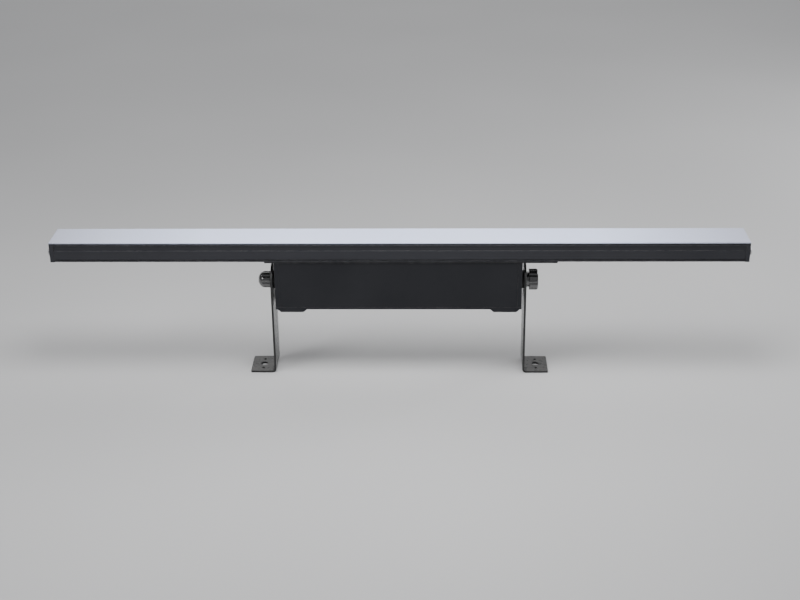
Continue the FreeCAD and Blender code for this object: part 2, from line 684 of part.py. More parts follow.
def saddle_plate():
    """Plate that reaches farther out on the right, where one more screw holds it."""
    body = new_body("saddle_plate")
    plate = box_outline(
        draw(body, "XY_Plane", "sheet"), "-(box_long / 2 + saddle_over_left)",
        "box_long / 2 + saddle_over_right", "-saddle_wide / 2", "saddle_wide / 2")
    pad(body, plate, "saddle_thick")
    holes = draw(body, "XY_Plane", "holes")
    for place in PLATE_SCREWS:
        circle(holes, place, "0", "plate_screw_radius + screw_play")
    circle(holes, "0", "0", "grommet_radius + screw_play")
    cut(body, holes)
    put(body, z=f"{BAR_UNDER} - saddle_thick")


def slide_nuts():
    """Flat nuts in the slot of the housing, one above each plate screw."""
    body = new_body("slide_nuts")
    blocks = draw(body, "XY_Plane", "blocks")
    holes = draw(body, "XY_Plane", "holes")
    for place in PLATE_SCREWS:
        box_outline(blocks, f"{place} - nut_long / 2", f"{place} + nut_long / 2",
                    "-nut_wide / 2", "nut_wide / 2")
        circle(holes, place, "0", "plate_screw_radius + screw_play")
    pad(body, blocks, "nut_thick")
    cut(body, holes)
    put(body, z=f"{BAR_UNDER} + slot_lip")


def plate_screws(label, places, head_seat, through):
    """Screws from below, through the plate and the slot's lips into the sliding nuts."""
    profile = pan_profile("plate_head_radius", "plate_head_high", "plate_screw_radius", through)
    body = screws(label, profile, [(place, "0") for place in places])
    put(body, z=head_seat, facing="down")


# The driver box.

def driver_box():
    """Folded shell, open at both ends and below, with a screw post in each corner."""
    body = new_body("driver_box")
    pad(body, box_outline(draw(body, "YZ_Plane", "outside"), "-box_deep / 2", "box_deep / 2",
                          SHELL_LOW, "box_high / 2"), SHELL_LONG, both_ways=True)
    top = value("box_high / 2")
    round_edges(body, "box_round", lambda middle, along: near(middle.z, top) and near(abs(along.x), 1))
    room = box_outline(draw(body, "YZ_Plane", "room"), "box_wall - box_deep / 2", "box_deep / 2 - box_wall",
                       "-box_high", "box_high / 2 - box_wall")
    cut(body, room, "box_long")
    posts = draw(body, "XY_Plane", "posts", SHELL_LOW)
    for x, y in corners_of(POST_X, POST_Y):
        box_outline(posts, f"{x} - post_wide / 2", f"{x} + post_wide / 2",
                    f"{y} - post_wide / 2", f"{y} + post_wide / 2")
    pad(body, posts, "box_high - cover_thick - box_seal - box_wall")
    end_holes = draw(body, "YZ_Plane", "end_holes", f"{SHELL_LONG} / 2")
    cover_holes = draw(body, "XY_Plane", "cover_holes", SHELL_LOW)
    for y, z in corners_of(POST_Y, "plate_screw_high"):
        circle(end_holes, y, z, "flush_screw_radius + screw_play")
    for x, y in corners_of(POST_X, POST_Y):
        circle(cover_holes, x, y, "flush_screw_radius + screw_play")
    holes = cut(body, end_holes, "post_bite + drill_over", both_ways=False)
    mirrored(body, holes, "YZ_Plane")
    cut(body, cover_holes, "post_bite + drill_over", both_ways=False, flip=True)
    top_holes = draw(body, "XY_Plane", "top_holes", "box_high / 2")
    for place in both(INNER_SCREW):
        circle(top_holes, place, "0", "plate_screw_radius + screw_play")
    small = [f"-{EARTH_AT}"]
    small += [f"{DRIVER_AT} + {foot}" for foot in both(DRIVER_FOOT_X)]
    small += [f"{end} - {TERMINAL_AT}" for end in both("(terminal_screw_apart / 2)")]
    for place in small:
        circle(top_holes, place, "0", "small_screw_radius + screw_play")
    circle(top_holes, "0", "0", "grommet_radius + screw_play")
    cut(body, top_holes, "box_wall + drill_over", both_ways=False)
    gland_hole = draw(body, "XZ_Plane", "gland_hole", "-box_deep / 2")
    circle(gland_hole, f"-{GLAND_AT}", "0", "gland_thread_radius + screw_play")
    cut(body, gland_hole, "box_wall * 2")
    put(body, z="pivot_height")


def box_cover():
    """Bottom cover under the shell and both end plates, with two finger tabs along its front edge."""
    body = new_body("box_cover")
    pad(body, centred(draw(body, "XY_Plane", "sheet"), "box_long", "box_deep"), "cover_thick")
    tabs = draw(body, "XZ_Plane", "tabs", "box_deep / 2")
    for middle in both(TAB_AT):
        trace(tabs, [
            (f"{middle} - tab_wide / 2", "0"), (f"{middle} + tab_wide / 2", "0"),
            (f"{middle} + tab_wide / 2 - tab_slope", "-tab_high"),
            (f"{middle} - tab_wide / 2 + tab_slope", "-tab_high"),
        ])
    pad(body, tabs, "tab_thick", flip=True)
    holes = draw(body, "XY_Plane", "screw_holes")
    for x, y in corners_of(POST_X, POST_Y):
        circle(holes, x, y, "flush_screw_radius + screw_play")
    countersink(body, holes, flip=True)
    put(body, z="pivot_height - box_high / 2")


def box_cover_seal():
    body = new_body("box_cover_seal")
    pad(body, centred(draw(body, "XY_Plane", "frame"), "box_long - 2 * seam_inset",
                      "box_deep - 2 * seam_inset"), "box_seal")
    cut(body, centred(draw(body, "XY_Plane", "window"), SHELL_LONG, "box_deep - 2 * box_wall"))
    put(body, z="pivot_height - box_high / 2 + cover_thick")


def box_cover_screws():
    profile = flush_profile("cover_thick + box_seal + post_bite")
    body = screws("box_cover_screws", profile, corners_of(POST_X, POST_Y))
    put(body, z="pivot_height - box_high / 2", facing="down")


def box_end_plate(side, facing, sign):
    """Thick plate that closes the box and carries the pivot stud; its outer face is at x = 0."""
    body = new_body(f"box_end_plate_{side}")
    plate = box_outline(
        draw(body, "YZ_Plane", "plate"), "-box_deep / 2", "box_deep / 2", SHELL_LOW, "box_high / 2")
    pad(body, plate, "end_plate_thick", flip=True)
    chamfer_edges(body, "end_plate_edge", lambda middle, along: near(middle.x, 0))
    holes = draw(body, "YZ_Plane", "screw_holes")
    for y, z in corners_of(POST_Y, "plate_screw_high"):
        circle(holes, y, z, "flush_screw_radius + screw_play")
    countersink(body, holes)
    cut(body, circle(draw(body, "YZ_Plane", "stud_hole"), "0", "0", "stud_radius + screw_play"))
    put(body, x=f"{sign}box_long / 2", z="pivot_height", facing=facing)


def box_end_seal(side, facing, sign):
    """Seal between an end plate and the shell, open below like the shell."""
    body = new_body(f"box_end_seal_{side}")
    frame = box_outline(
        draw(body, "YZ_Plane", "frame"), "seam_inset - box_deep / 2", "box_deep / 2 - seam_inset",
        SHELL_LOW, "box_high / 2 - seam_inset")
    pad(body, frame, "box_seal")
    window = box_outline(
        draw(body, "YZ_Plane", "window"), "box_wall - box_deep / 2", "box_deep / 2 - box_wall",
        "-box_high", "box_high / 2 - box_wall")
    cut(body, window)
    put(body, x=f"{sign}{SHELL_LONG} / 2", z="pivot_height", facing=facing)


def box_end_screws(side, facing, sign):
    profile = flush_profile("end_plate_thick + box_seal + post_bite")
    body = screws(f"box_end_screws_{side}", profile, corners_of("plate_screw_high", POST_Y))
    put(body, x=f"{sign}box_long / 2", z="pivot_height", facing=facing)


# What the box holds.

def driver_module():
    """Closed driver with a mounting foot at each end, hung under the top of the box."""
    body = new_body("driver_module")
    block = centred(draw(body, "XY_Plane", "block"), "driver_long", "driver_deep")
    pad(body, block, "driver_high", flip=True)
    feet = centred(draw(body, "XY_Plane", "feet"), "driver_long + 2 * driver_foot_long", "driver_deep")
    pad(body, feet, "driver_foot_thick", flip=True)
    holes = draw(body, "XY_Plane", "screw_holes")
    for place in both(DRIVER_FOOT_X):
        circle(holes, place, "0", "small_screw_radius + screw_play")
    cut(body, holes)
    put(body, x=DRIVER_AT, z=TOP_INSIDE)


def driver_screws():
    profile = small_profile("driver_foot_thick + box_wall")
    body = screws("driver_screws", profile, [(place, "0") for place in both(DRIVER_FOOT_X)])
    put(body, x=DRIVER_AT, z=f"{TOP_INSIDE} - driver_foot_thick", facing="down")


def terminal_block():
    """Block with a row of wire entries, hung under the top of the box."""
    body = new_body("terminal_block")
    block = centred(draw(body, "XY_Plane", "block"), "terminal_long", "terminal_deep")
    pad(body, block, "terminal_high", flip=True)
    entries = draw(body, "XZ_Plane", "wire_entries", "-terminal_deep / 2")
    for place in ("-1.5", "-0.5", "0.5", "1.5"):
        circle(entries, f"{place} * wire_way_pitch", "-terminal_high / 2", "wire_way_radius")
    cut(body, entries, "terminal_deep / 2")
    holes = draw(body, "XY_Plane", "screw_holes")
    for place in both("terminal_screw_apart / 2"):
        circle(holes, place, "0", "small_screw_radius + screw_play")
    cut(body, holes)
    put(body, x=f"-{TERMINAL_AT}", z=TOP_INSIDE)


def terminal_screws():
    profile = small_profile("terminal_high + box_wall")
    spots = [(place, "0") for place in both("(terminal_screw_apart / 2)")]
    body = screws("terminal_screws", profile, spots)
    put(body, x=f"-{TERMINAL_AT}", z=f"{TOP_INSIDE} - terminal_high", facing="down")


def earth_screw():
    body = screws("earth_screw", small_profile("box_wall"), [("0", "0")])
    put(body, x=f"-{EARTH_AT}", z=TOP_INSIDE, facing="down")


def board_screws():
    """Four screws that hold the two light boards on the shelf."""
    spots = [(spot, "0") for spot in both(BOARD_SCREW_IN) + both(BOARD_SCREW_OUT)]
    body = screws("board_screws", small_profile("board_thick + web_thick"), spots)
    put(body, z=f"{BAR_UNDER} + {WEB_TOP} + board_thick")


def feed_lead():
    """Straight sleeved lead from the terminal block to the driver."""
    body = new_body("feed_lead")
    start = f"(terminal_long / 2 - {TERMINAL_AT})"
    end = f"({DRIVER_AT} - driver_long / 2)"
    section = draw(body, "YZ_Plane", "section", start)
    circle(section, "feed_back", "box_high / 2 - feed_drop", "feed_radius")
    pad(body, section, f"{end} - {start}")
    put(body, z="pivot_height")


def lamp_lead():
    """Lead that leaves the driver level, bends upwards and ends in the connector of the bar."""
    body = new_body("lamp_lead")
    start = f"({DRIVER_AT} - driver_long / 2)"
    level = "(box_high / 2 - lead_drop)"
    top = f"(box_high / 2 + saddle_thick + {WEB_TOP} + connector_hole)"
    high = f"({level} + lead_bend)"
    path = trace(draw(body, "XZ_Plane", "path"), [
        (start, level), ("lead_bend", level), ("0", high, "lead_bend", "lead_bend", high), ("0", top),
    ], closed=False)
    section = circle(draw(body, "YZ_Plane", "section", start), "0", level, "lead_radius")
    pipe = body.newObject("PartDesign::AdditivePipe", "lamp_lead_pipe")
    pipe.Profile = section
    pipe.Spine = path
    doc.recompute()
    put(body, z="pivot_height")


def wire_grommet():
    """Rubber bush through the box top and the plate, with a rim on both sides."""
    body = new_body("wire_grommet")
    bore = "(lead_radius + screw_play)"
    rim = "(grommet_radius + grommet_rim)"
    through = "(box_wall + saddle_thick)"
    spin(body, [
        (bore, "-grommet_rim"), (rim, "-grommet_rim"), (rim, "0"), ("grommet_radius", "0"),
        ("grommet_radius", through), (rim, through), (rim, f"{through} + grommet_rim"),
        (bore, f"{through} + grommet_rim"),
    ])
    put(body, z=TOP_INSIDE)


# The cable gland in the back of the box. Its pieces share one axis and one zero, the outside of the wall.

GLAND_END = "(gland_flange + gland_outer_long)"
SEAT_LOW = f"({GLAND_END} - gland_seal_long + gland_nut_wall)"


def put_on_gland(body):
    put(body, x=f"-{GLAND_AT}", y=BACK_WALL, z="pivot_height", facing="back")


def gland_body():
    body = new_body("gland_body")
    low = "-(box_wall + gland_inner_long)"
    seat = "(gland_seal_radius + screw_play)"
    spin(body, [
        ("gland_bore_radius", low), ("gland_thread_radius", low), ("gland_thread_radius", GLAND_END),
        (seat, GLAND_END), (seat, SEAT_LOW), ("gland_bore_radius", SEAT_LOW),
    ])
    pad(body, hexagon(draw(body, "XY_Plane", "flats"), "gland_across"), "gland_flange")
    cut(body, circle(draw(body, "XY_Plane", "bore"), "0", "0", "gland_bore_radius"), "2 * gland_flange")
    put_on_gland(body)


def gland_seal():
    body = new_body("gland_seal")
    ring = circle(draw(body, "XY_Plane", "ring", SEAT_LOW), "0", "0", "gland_seal_radius")
    pad(body, ring, "gland_seal_long")
    cut(body, circle(draw(body, "XY_Plane", "cable_hole"), "0", "0", "cable_radius"))
    put_on_gland(body)


def gland_nut():
    """Dome nut that squeezes the seal; a small gap is left above the hexagon."""
    body = new_body("gland_nut")
    low = "(gland_flange + gland_nut_gap)"
    inside = f"({SEAT_LOW} + gland_seal_long)"
    flats = hexagon(draw(body, "XY_Plane", "flats", low), "gland_across")
    pad(body, flats, f"{inside} + gland_nut_wall - {low}")
    top = value(f"{inside} + gland_nut_wall")
    chamfer_edges(body, "gland_nut_wall", lambda middle, along: near(middle.z, top))
    cut(body, circle(draw(body, "XY_Plane", "thread", inside), "0", "0", "gland_thread_radius + screw_play"),
        both_ways=False)
    cut(body, circle(draw(body, "XY_Plane", "mouth"), "0", "0", "cable_radius + fit_gap"))
    put_on_gland(body)


def gland_locknut():
    body = new_body("gland_locknut")
    flats = hexagon(draw(body, "XY_Plane", "flats", "-box_wall"), "gland_across")
    pad(body, flats, "locknut_thick", flip=True)
    cut(body, circle(draw(body, "XY_Plane", "thread"), "0", "0", "gland_thread_radius + screw_play"))
    put_on_gland(body)


# The tilting joint. Each side has a stud, two washers and a knob on one axis.

def pivot_stud(side, facing, sign):
    """Stud with a flange inside the box; height 0 is the inner face of the end plate."""
    body = new_body(f"pivot_stud_{side}")
    tip = "(end_plate_thick + pivot_gap + strip_thick + washer_thick + stud_grip)"
    spin(body, [
        ("0", "-stud_flange_thick"), ("stud_flange_radius", "-stud_flange_thick"),
        ("stud_flange_radius", "0"), ("stud_radius", "0"), ("stud_radius", f"{tip} - stud_tip_edge"),
        ("stud_radius - stud_tip_edge", tip), ("0", tip),
    ])
    put(body, x=f"{sign}({SHELL_LONG} / 2 + box_seal)", z="pivot_height", facing=facing)


def washer(label, radius, thick, seat, facing, sign):
    body = new_body(label)
    bore = "(stud_radius + screw_play)"
    spin(body, [(bore, "0"), (radius, "0"), (radius, thick), (bore, thick)])
    put(body, x=f"{sign}{seat}", z="pivot_height", facing=facing)


def knob_insert(side, facing, sign):
    """Blind threaded bush moulded into a knob."""
    body = new_body(f"knob_insert_{side}")
    bore = "(stud_radius + screw_play)"
    spin(body, [
        (bore, "0"), ("insert_radius", "0"), ("insert_radius", "insert_long"), ("0", "insert_long"),
        ("0", "stud_grip + screw_play"), (bore, "stud_grip + screw_play"),
    ])
    put(body, x=f"{sign}{KNOB_SEAT}", z="pivot_height", facing=facing)


def flutes(body, radius, low, long):
    """Finger flutes all round a knob, scooped out parallel to its axis."""
    scoop = draw(body, "XY_Plane", "flute", low)
    circle(scoop, f"{radius} + flute_radius - flute_deep", "0", "flute_radius")
    feature = cut(body, scoop, long, both_ways=False, flip=True)
    ring_of(body, feature, "flute_count")


def knob_left():
    """Domed knob."""
    body = new_body("knob_left")
    top = "(dome_skirt + dome_rise)"
    flat = "(dome_radius - dome_rise)"
    spin(body, [
        ("insert_radius", "0"), ("dome_radius", "0"), ("dome_radius", "dome_skirt"),
        (flat, top, "dome_rise", flat, "dome_skirt"), ("0", top), ("0", "insert_long"),
        ("insert_radius", "insert_long"),
    ])
    flutes(body, "dome_radius", "0", top)
    put(body, x=f"-{KNOB_SEAT}", z="pivot_height", facing="left")


def knob_right():
    """Flat knob: a neck, then a wider grip with a rounded rim."""
    body = new_body("knob_right")
    top = "(neck_long + grip_long)"
    rim = "(grip_radius - grip_round)"
    spin(body, [
        ("insert_radius", "0"), ("neck_radius", "0"), ("neck_radius", "neck_long"),
        ("grip_radius", "neck_long"),
        ("grip_radius", f"{top} - grip_round"), (rim, top, "grip_round", rim, f"{top} - grip_round"),
        ("0", top), ("0", "insert_long"), ("insert_radius", "insert_long"),
    ])
    flutes(body, "grip_radius", "neck_long", "grip_long")
    put(body, x=KNOB_SEAT, z="pivot_height", facing="right")


def bracket(side, facing, sign):
    """Bent strip: a foot turned outwards, and an upright that ends in a half round about the tilt axis."""
    body = new_body(f"bracket_{side}")
    top = "(pivot_height + strip_wide / 2)"
    pad(body, trace(draw(body, "XZ_Plane", "section"), [
        ("0", "0"), ("strip_thick + foot_out", "0"), ("strip_thick + foot_out", "strip_thick"),
        ("strip_thick", "strip_thick"), ("strip_thick", top), ("0", top),
    ]), "strip_wide", both_ways=True)
    thick = value("strip_thick")
    tip = value("strip_thick + foot_out")
    inside = lambda middle, along: near(middle.x, thick) and near(middle.z, thick)
    outside = lambda middle, along: near(middle.x, 0) and near(middle.z, 0)
    corners = lambda middle, along: near(middle.x, tip) and near(abs(along.z), 1)
    round_edges(body, "bend_inside", inside)
    round_edges(body, "bend_inside + strip_thick", outside)
    round_edges(body, "foot_corner", corners)
    round_top(body)
    cut(body, circle(draw(body, "YZ_Plane", "stud_hole"), "0", "pivot_height", "stud_radius + screw_play"))
    holes = circle(draw(body, "XY_Plane", "foot_holes"), FOOT_MIDDLE, "0", "bolt_radius")
    for y in both("(pin_hole_apart / 2)"):
        circle(holes, FOOT_MIDDLE, y, "pin_hole_radius")
    cut(body, holes, "4 * strip_thick")
    put(body, x=f"{sign}{STRIP_INNER}", facing=facing)


def round_top(body):
    """Trim the upright's end to a half circle about the tilt axis."""
    half = "strip_wide / 2"
    over = "pivot_height + strip_wide"
    cut(body, trace(draw(body, "YZ_Plane", "round_end"), [
        (half, "pivot_height"), ("0", f"pivot_height + {half}", half, "0", "pivot_height"),
        (f"-{half}", "pivot_height", half, "0", "pivot_height"), ("-strip_wide", "pivot_height"),
        ("-strip_wide", over), ("strip_wide", over), ("strip_wide", "pivot_height"),
    ]))


def build_all():
    housing_extrusion()
    diffuser_lens()
    lens_gasket()
    board_connector()
    board_screws()
    saddle_plate()
    slide_nuts()
    grip = "saddle_thick + slot_lip + nut_thick"
    plate_screws("saddle_screw", [OUTER_SCREW], f"{BAR_UNDER} - saddle_thick", grip)
    plate_screws("box_top_screws", both(INNER_SCREW), TOP_INSIDE, f"box_wall + {grip}")
    driver_box()
    box_cover()
    box_cover_seal()
    box_cover_screws()
    driver_module()
    driver_screws()
    terminal_block()
    terminal_screws()
    earth_screw()
    feed_lead()
    lamp_lead()
    wire_grommet()
    gland_body()
    gland_seal()
    gland_nut()
    gland_locknut()
    knob_left()
    knob_right()
    for side, turn, facing, sign in (("left", "turned", "left", "-"), ("right", "up", "right", "")):
        end_cap(side, turn, sign)
        end_cap_seal(side, turn, sign)
        end_cap_screws(side, facing, sign)
        end_cap_washers(side, facing, sign)
        led_board(side, turn, sign)
        led_chips(side, turn, sign)
        box_end_plate(side, turn, sign)
        box_end_seal(side, turn, sign)
        box_end_screws(side, facing, sign)
        pivot_stud(side, facing, sign)
        washer(f"friction_washer_{side}", "friction_radius", "pivot_gap", "box_long / 2", facing, sign)
        washer(f"steel_washer_{side}", "washer_radius", "washer_thick", STRIP_OUTER, facing, sign)
        knob_insert(side, facing, sign)
        bracket(side, turn, sign)


def check_all():
    """Stop with a plain message where an object of the document has failed."""
    doc.recompute()
    for thing in doc.Objects:
        if "Invalid" in thing.State or "Error" in thing.State:
            raise RuntimeError(f"{thing.Name} has failed: {thing.State}")
    for piece in pieces:
        if piece.Shape.isNull() or not piece.Shape.isValid() or not piece.Shape.Solids:
            raise RuntimeError(f"{piece.Label} has no good solid")


build_all()
check_all()
os.makedirs("parts", exist_ok=True)
for piece in pieces:
    piece.Shape.exportStep(f"parts/{piece.Label}.step")
    box = piece.Shape.BoundBox
    print(f"{piece.Label}: {len(piece.Shape.Solids)} solid(s), {piece.Shape.Volume / 1000:.2f} cm3, "
          f"z {box.ZMin:.1f} to {box.ZMax:.1f}")
print(f"{len(pieces)} sub-parts")
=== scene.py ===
# %% [markdown]
# # An outdoor wall washer light
#
# The object is a one metre light bar with an opal top. It sits on a flat box that holds its driver, and the
# box tilts between two bent steel strips. A hand knob on each side clamps the tilt. The solid model of the
# light is loaded as a fixed frame, with every piece in its real place and in metres. This lesson dresses
# that frame: it gives each piece a finish, rounds what the factory would round, and models finer shapes
# where a plain solid is too coarse for a close look.

import json
import math

import bmesh
import bpy
from mathutils import Matrix, Vector


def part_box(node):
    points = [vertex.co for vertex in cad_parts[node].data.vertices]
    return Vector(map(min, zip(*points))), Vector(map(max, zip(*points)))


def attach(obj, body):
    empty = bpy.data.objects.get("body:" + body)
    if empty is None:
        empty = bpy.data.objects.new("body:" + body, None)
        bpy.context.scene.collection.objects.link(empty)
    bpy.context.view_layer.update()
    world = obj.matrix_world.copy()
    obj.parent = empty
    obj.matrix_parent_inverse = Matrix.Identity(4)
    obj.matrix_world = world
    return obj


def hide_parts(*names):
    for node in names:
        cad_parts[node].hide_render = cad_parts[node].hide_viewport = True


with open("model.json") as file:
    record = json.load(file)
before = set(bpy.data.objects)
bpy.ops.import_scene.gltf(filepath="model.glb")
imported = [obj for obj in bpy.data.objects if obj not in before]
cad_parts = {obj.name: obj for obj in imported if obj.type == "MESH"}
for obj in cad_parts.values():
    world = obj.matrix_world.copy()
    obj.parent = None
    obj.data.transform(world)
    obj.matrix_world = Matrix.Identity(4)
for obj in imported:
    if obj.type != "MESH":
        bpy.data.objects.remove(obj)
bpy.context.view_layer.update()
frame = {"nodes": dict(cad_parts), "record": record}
MM = 0.001

# %% [markdown]
# ## The camera
#
# The photograph looks down on the light from the front, a little right of its middle. The camera could be
# placed by eye, but a bar this long shows every error. So its place was worked out from the picture: the
# corners of the bar, the box and the feet give the position, the turn and the length of the lens.

# %% Camera
CAMERA_AT = Vector((0.0552, -1.9305, 0.9694))
CAMERA_YAW = math.radians(-1.586)
CAMERA_PITCH = math.radians(24.07)
CAMERA_ROLL = math.radians(-0.646)
LENS_MM = 64.85
SENSOR_MM = 36

camera = bpy.data.objects.new("camera", bpy.data.cameras.new("camera"))
bpy.context.scene.collection.objects.link(camera)
camera.data.lens = LENS_MM
camera.data.sensor_width = SENSOR_MM
heading = Matrix.Rotation(-CAMERA_YAW, 4, "Z")
tilt_down = Matrix.Rotation(math.pi / 2 - CAMERA_PITCH, 4, "X")
aimed = Matrix.Translation(CAMERA_AT) @ heading @ tilt_down
camera.matrix_world = aimed @ Matrix.Rotation(CAMERA_ROLL, 4, "Z")
bpy.context.scene.camera = camera
print("camera height in mm:", round(CAMERA_AT.z / MM))

# %% [markdown]
# ## Small helpers for materials
#
# A material in Blender is a tree of nodes. Written out, each node takes three or four lines, and the idea
# gets lost. These helpers keep one node on one line: they make the node, set its options, and either link a
# socket or set its number.

# %% Node helpers
def add_node(tree, kind, feeds=None, **options):
    """Make a node. feeds maps a socket's name to a number, a colour or another node's output."""
    node = tree.nodes.new(f"ShaderNode{kind}")
    for option, choice in options.items():
        setattr(node, option, choice)
    for socket, source in (feeds or {}).items():
        if isinstance(source, bpy.types.NodeSocket):
            tree.links.new(source, node.inputs[socket])
        else:
            node.inputs[socket].default_value = source
    return node


def calculate(tree, operation, first, second=0.5, clamp=False):
    """One sum of two numbers. Either may be an output of another node."""
    return add_node(tree, "Math", {0: first, 1: second}, operation=operation, use_clamp=clamp).outputs[0]


def stretch(tree, source, low, high, to_low=0.0, to_high=1.0):
    """Map the range low..high of a value to another range, and cut off what lies outside it."""
    feeds = {"Value": source, "From Min": low, "From Max": high, "To Min": to_low, "To Max": to_high}
    return add_node(tree, "MapRange", feeds).outputs["Result"]


def blend_colours(tree, mask, under, over):
    """The colour over lies on the colour under wherever the mask is 1."""
    node = add_node(tree, "Mix", data_type="RGBA")
    ends = {socket.identifier: socket for socket in node.inputs}
    for name, source in (("Factor_Float", mask), ("A_Color", under), ("B_Color", over)):
        if isinstance(source, bpy.types.NodeSocket):
            tree.links.new(source, ends[name])
        else:
            ends[name].default_value = source
    return next(socket for socket in node.outputs if socket.identifier == "Result_Color")


print("helpers for nodes are ready")


# %% [markdown]
# ## Effects that several finishes share
#
# Powder coat, moulded plastic and bare steel are different finishes, but what makes each of them look real
# is much the same: a fine grain, worn edges, a little dust on top, and a colour that isn't quite even. Each
# such effect could be painted into every material again. A node group is better, because it is built once,
# has named inputs, and goes into each material with that material's own values.

# %% Start a node group
def new_group(name, takes, gives):
    """An empty group. takes is {input: default}, gives is {output: kind}."""
    group = bpy.data.node_groups.new(name, "ShaderNodeTree")
    for title, default in takes.items():
        kind = "NodeSocketVector" if isinstance(default, tuple) else "NodeSocketFloat"
        socket = group.interface.new_socket(name=title, in_out="INPUT", socket_type=kind)
        socket.default_value = default
    for title, kind in gives.items():
        group.interface.new_socket(name=title, in_out="OUTPUT", socket_type=f"NodeSocket{kind}")
    entry = group.nodes.new("NodeGroupInput")
    result = group.nodes.new("NodeGroupOutput")
    return group, entry.outputs, result.inputs


def place_group(tree, group, **values):
    """Put a group into a material. Underscores in the names of values stand for spaces."""
    node = tree.nodes.new("ShaderNodeGroup")
    node.node_tree = group
    for title, source in values.items():
        socket = node.inputs[title.replace("_", " ")]
        if isinstance(source, bpy.types.NodeSocket):
            tree.links.new(source, socket)
        else:
            socket.default_value = source
    return node.outputs


print("groups so far:", len(bpy.data.node_groups))

# %% [markdown]
# ### Grain
#
# A powder coat dries to a skin of tiny rounded bumps, and a moulded part copies the eroded skin of its
# mould. Both are close to noise at two sizes: broad soft bumps and sharp little pits. The group gives the
# height of that skin, and a mask of its pits between the bumps, where the finishes paint shade and make the
# surface rougher.

# %% Grain group
grain_group, taken, given = new_group(
    "surface_grain", {"Size": 0.0006, "Pit Share": 0.3}, {"Height": "Float", "Pits": "Float"})
place = add_node(grain_group, "TexCoord").outputs["Object"]
per_metre = calculate(grain_group, "DIVIDE", 1.0, taken["Size"])
bumps = add_node(grain_group, "TexNoise", {"Vector": place, "Scale": per_metre, "Detail": 2.0})
finer = calculate(grain_group, "MULTIPLY", per_metre, 1.9)
cells = add_node(grain_group, "TexVoronoi", {"Vector": place, "Scale": finer}, feature="SMOOTH_F1")
pits = stretch(grain_group, cells.outputs["Distance"], 0.25, 0.75)
pit_depth = calculate(grain_group, "MULTIPLY", pits, taken["Pit Share"])
grain_group.links.new(calculate(grain_group, "SUBTRACT", bumps.outputs["Fac"], pit_depth), given["Height"])
grain_group.links.new(pits, given["Pits"])
print("grain group has", len(grain_group.nodes), "nodes")

# %% [markdown]
# ### Edges
#
# No factory edge is perfectly sharp. Light catches its rounding, and the coat is thinnest and wears first
# there. Cutting every rounding into the mesh would cost thousands of faces. The Bevel node gives the normal
# that a rounded edge would have, and where it differs from the real normal there is an edge. So one node
# gives both the highlight and the mask of wear, which noise then breaks up into patches. Some finishes use
# that mask with a light colour, and there it is also a painted highlight.

# %% Edge group
edge_group, taken, given = new_group(
    "edge_wear_and_highlight", {"Width": 0.0004, "Amount": 0.6, "Patch Size": 0.006},
    {"Normal": "Vector", "Wear And Highlight": "Float"})
rounded_normal = add_node(edge_group, "Bevel", {"Radius": taken["Width"]}, samples=4).outputs["Normal"]
flat_normal = add_node(edge_group, "NewGeometry").outputs["Normal"]
alike = add_node(edge_group, "VectorMath", {0: rounded_normal, 1: flat_normal}, operation="DOT_PRODUCT")
at_edge = stretch(edge_group, alike.outputs["Value"], 0.985, 0.8)
place = add_node(edge_group, "TexCoord").outputs["Object"]
per_metre = calculate(edge_group, "DIVIDE", 1.0, taken["Patch Size"])
patches = add_node(edge_group, "TexNoise", {"Vector": place, "Scale": per_metre, "Detail": 4.0})
in_patches = stretch(edge_group, patches.outputs["Fac"], 0.38, 0.62)
wear_and_highlight = calculate(edge_group, "MULTIPLY", at_edge, in_patches)
edge_group.links.new(rounded_normal, given["Normal"])
edge_group.links.new(calculate(edge_group, "MULTIPLY", wear_and_highlight, taken["Amount"]), given["Wear And Highlight"])
print("edge group has", len(edge_group.nodes), "nodes")

# %% [markdown]
# ### Dust
#
# A light that stands outdoors gathers a thin film of dust on what faces up. The film could be laid on by
# height alone, but then the underside would get it too. The normal of the object itself tells which way a
# surface faces, so the film stays where it belongs when the bar tilts.

# %% Dust group
dust_group, taken, given = new_group("dust_film", {"Amount": 0.2, "Patch Size": 0.02}, {"Dust": "Float"})
coordinates = add_node(dust_group, "TexCoord").outputs
upward = add_node(dust_group, "SeparateXYZ", {"Vector": coordinates["Normal"]}).outputs["Z"]
facing_up = stretch(dust_group, upward, 0.3, 1.0)
per_metre = calculate(dust_group, "DIVIDE", 1.0, taken["Patch Size"])
spread = {"Vector": coordinates["Object"], "Scale": per_metre, "Detail": 8.0}
drifts = add_node(dust_group, "TexNoise", spread)
settled = stretch(dust_group, drifts.outputs["Fac"], 0.35, 0.75)
film = calculate(dust_group, "MULTIPLY", facing_up, settled)
dust_group.links.new(calculate(dust_group, "MULTIPLY", film, taken["Amount"]), given["Dust"])
print("dust group has", len(dust_group.nodes), "nodes")

# %% [markdown]
# ### Drawn lines
#
# Metal that was rolled, brushed or pushed through a die carries fine lines along the way it moved. Noise
# becomes lines when its coordinates are squeezed: slow changes along the lines, fast ones across them. The
# squeeze is a vector input, so the same group draws lines along the bar and lines up the brackets.

# %% Line group
line_group, taken, given = new_group(
    "drawn_lines", {"Squeeze": (6.0, 900.0, 900.0)}, {"Lines": "Float", "Streaks": "Float"})
place = add_node(line_group, "TexCoord").outputs["Object"]
squeeze_place = add_node(line_group, "VectorMath", {0: place, 1: taken["Squeeze"]}, operation="MULTIPLY")
squeezed = squeeze_place.outputs["Vector"]
fine = add_node(line_group, "TexNoise", {"Vector": squeezed, "Scale": 1.0, "Detail": 5.0})
broad = add_node(line_group, "TexNoise", {"Vector": squeezed, "Scale": 0.13, "Detail": 2.0})
line_group.links.new(stretch(line_group, fine.outputs["Fac"], 0.3, 0.7), given["Lines"])
line_group.links.new(stretch(line_group, broad.outputs["Fac"], 0.35, 0.65), given["Streaks"])
print("line group has", len(line_group.nodes), "nodes")

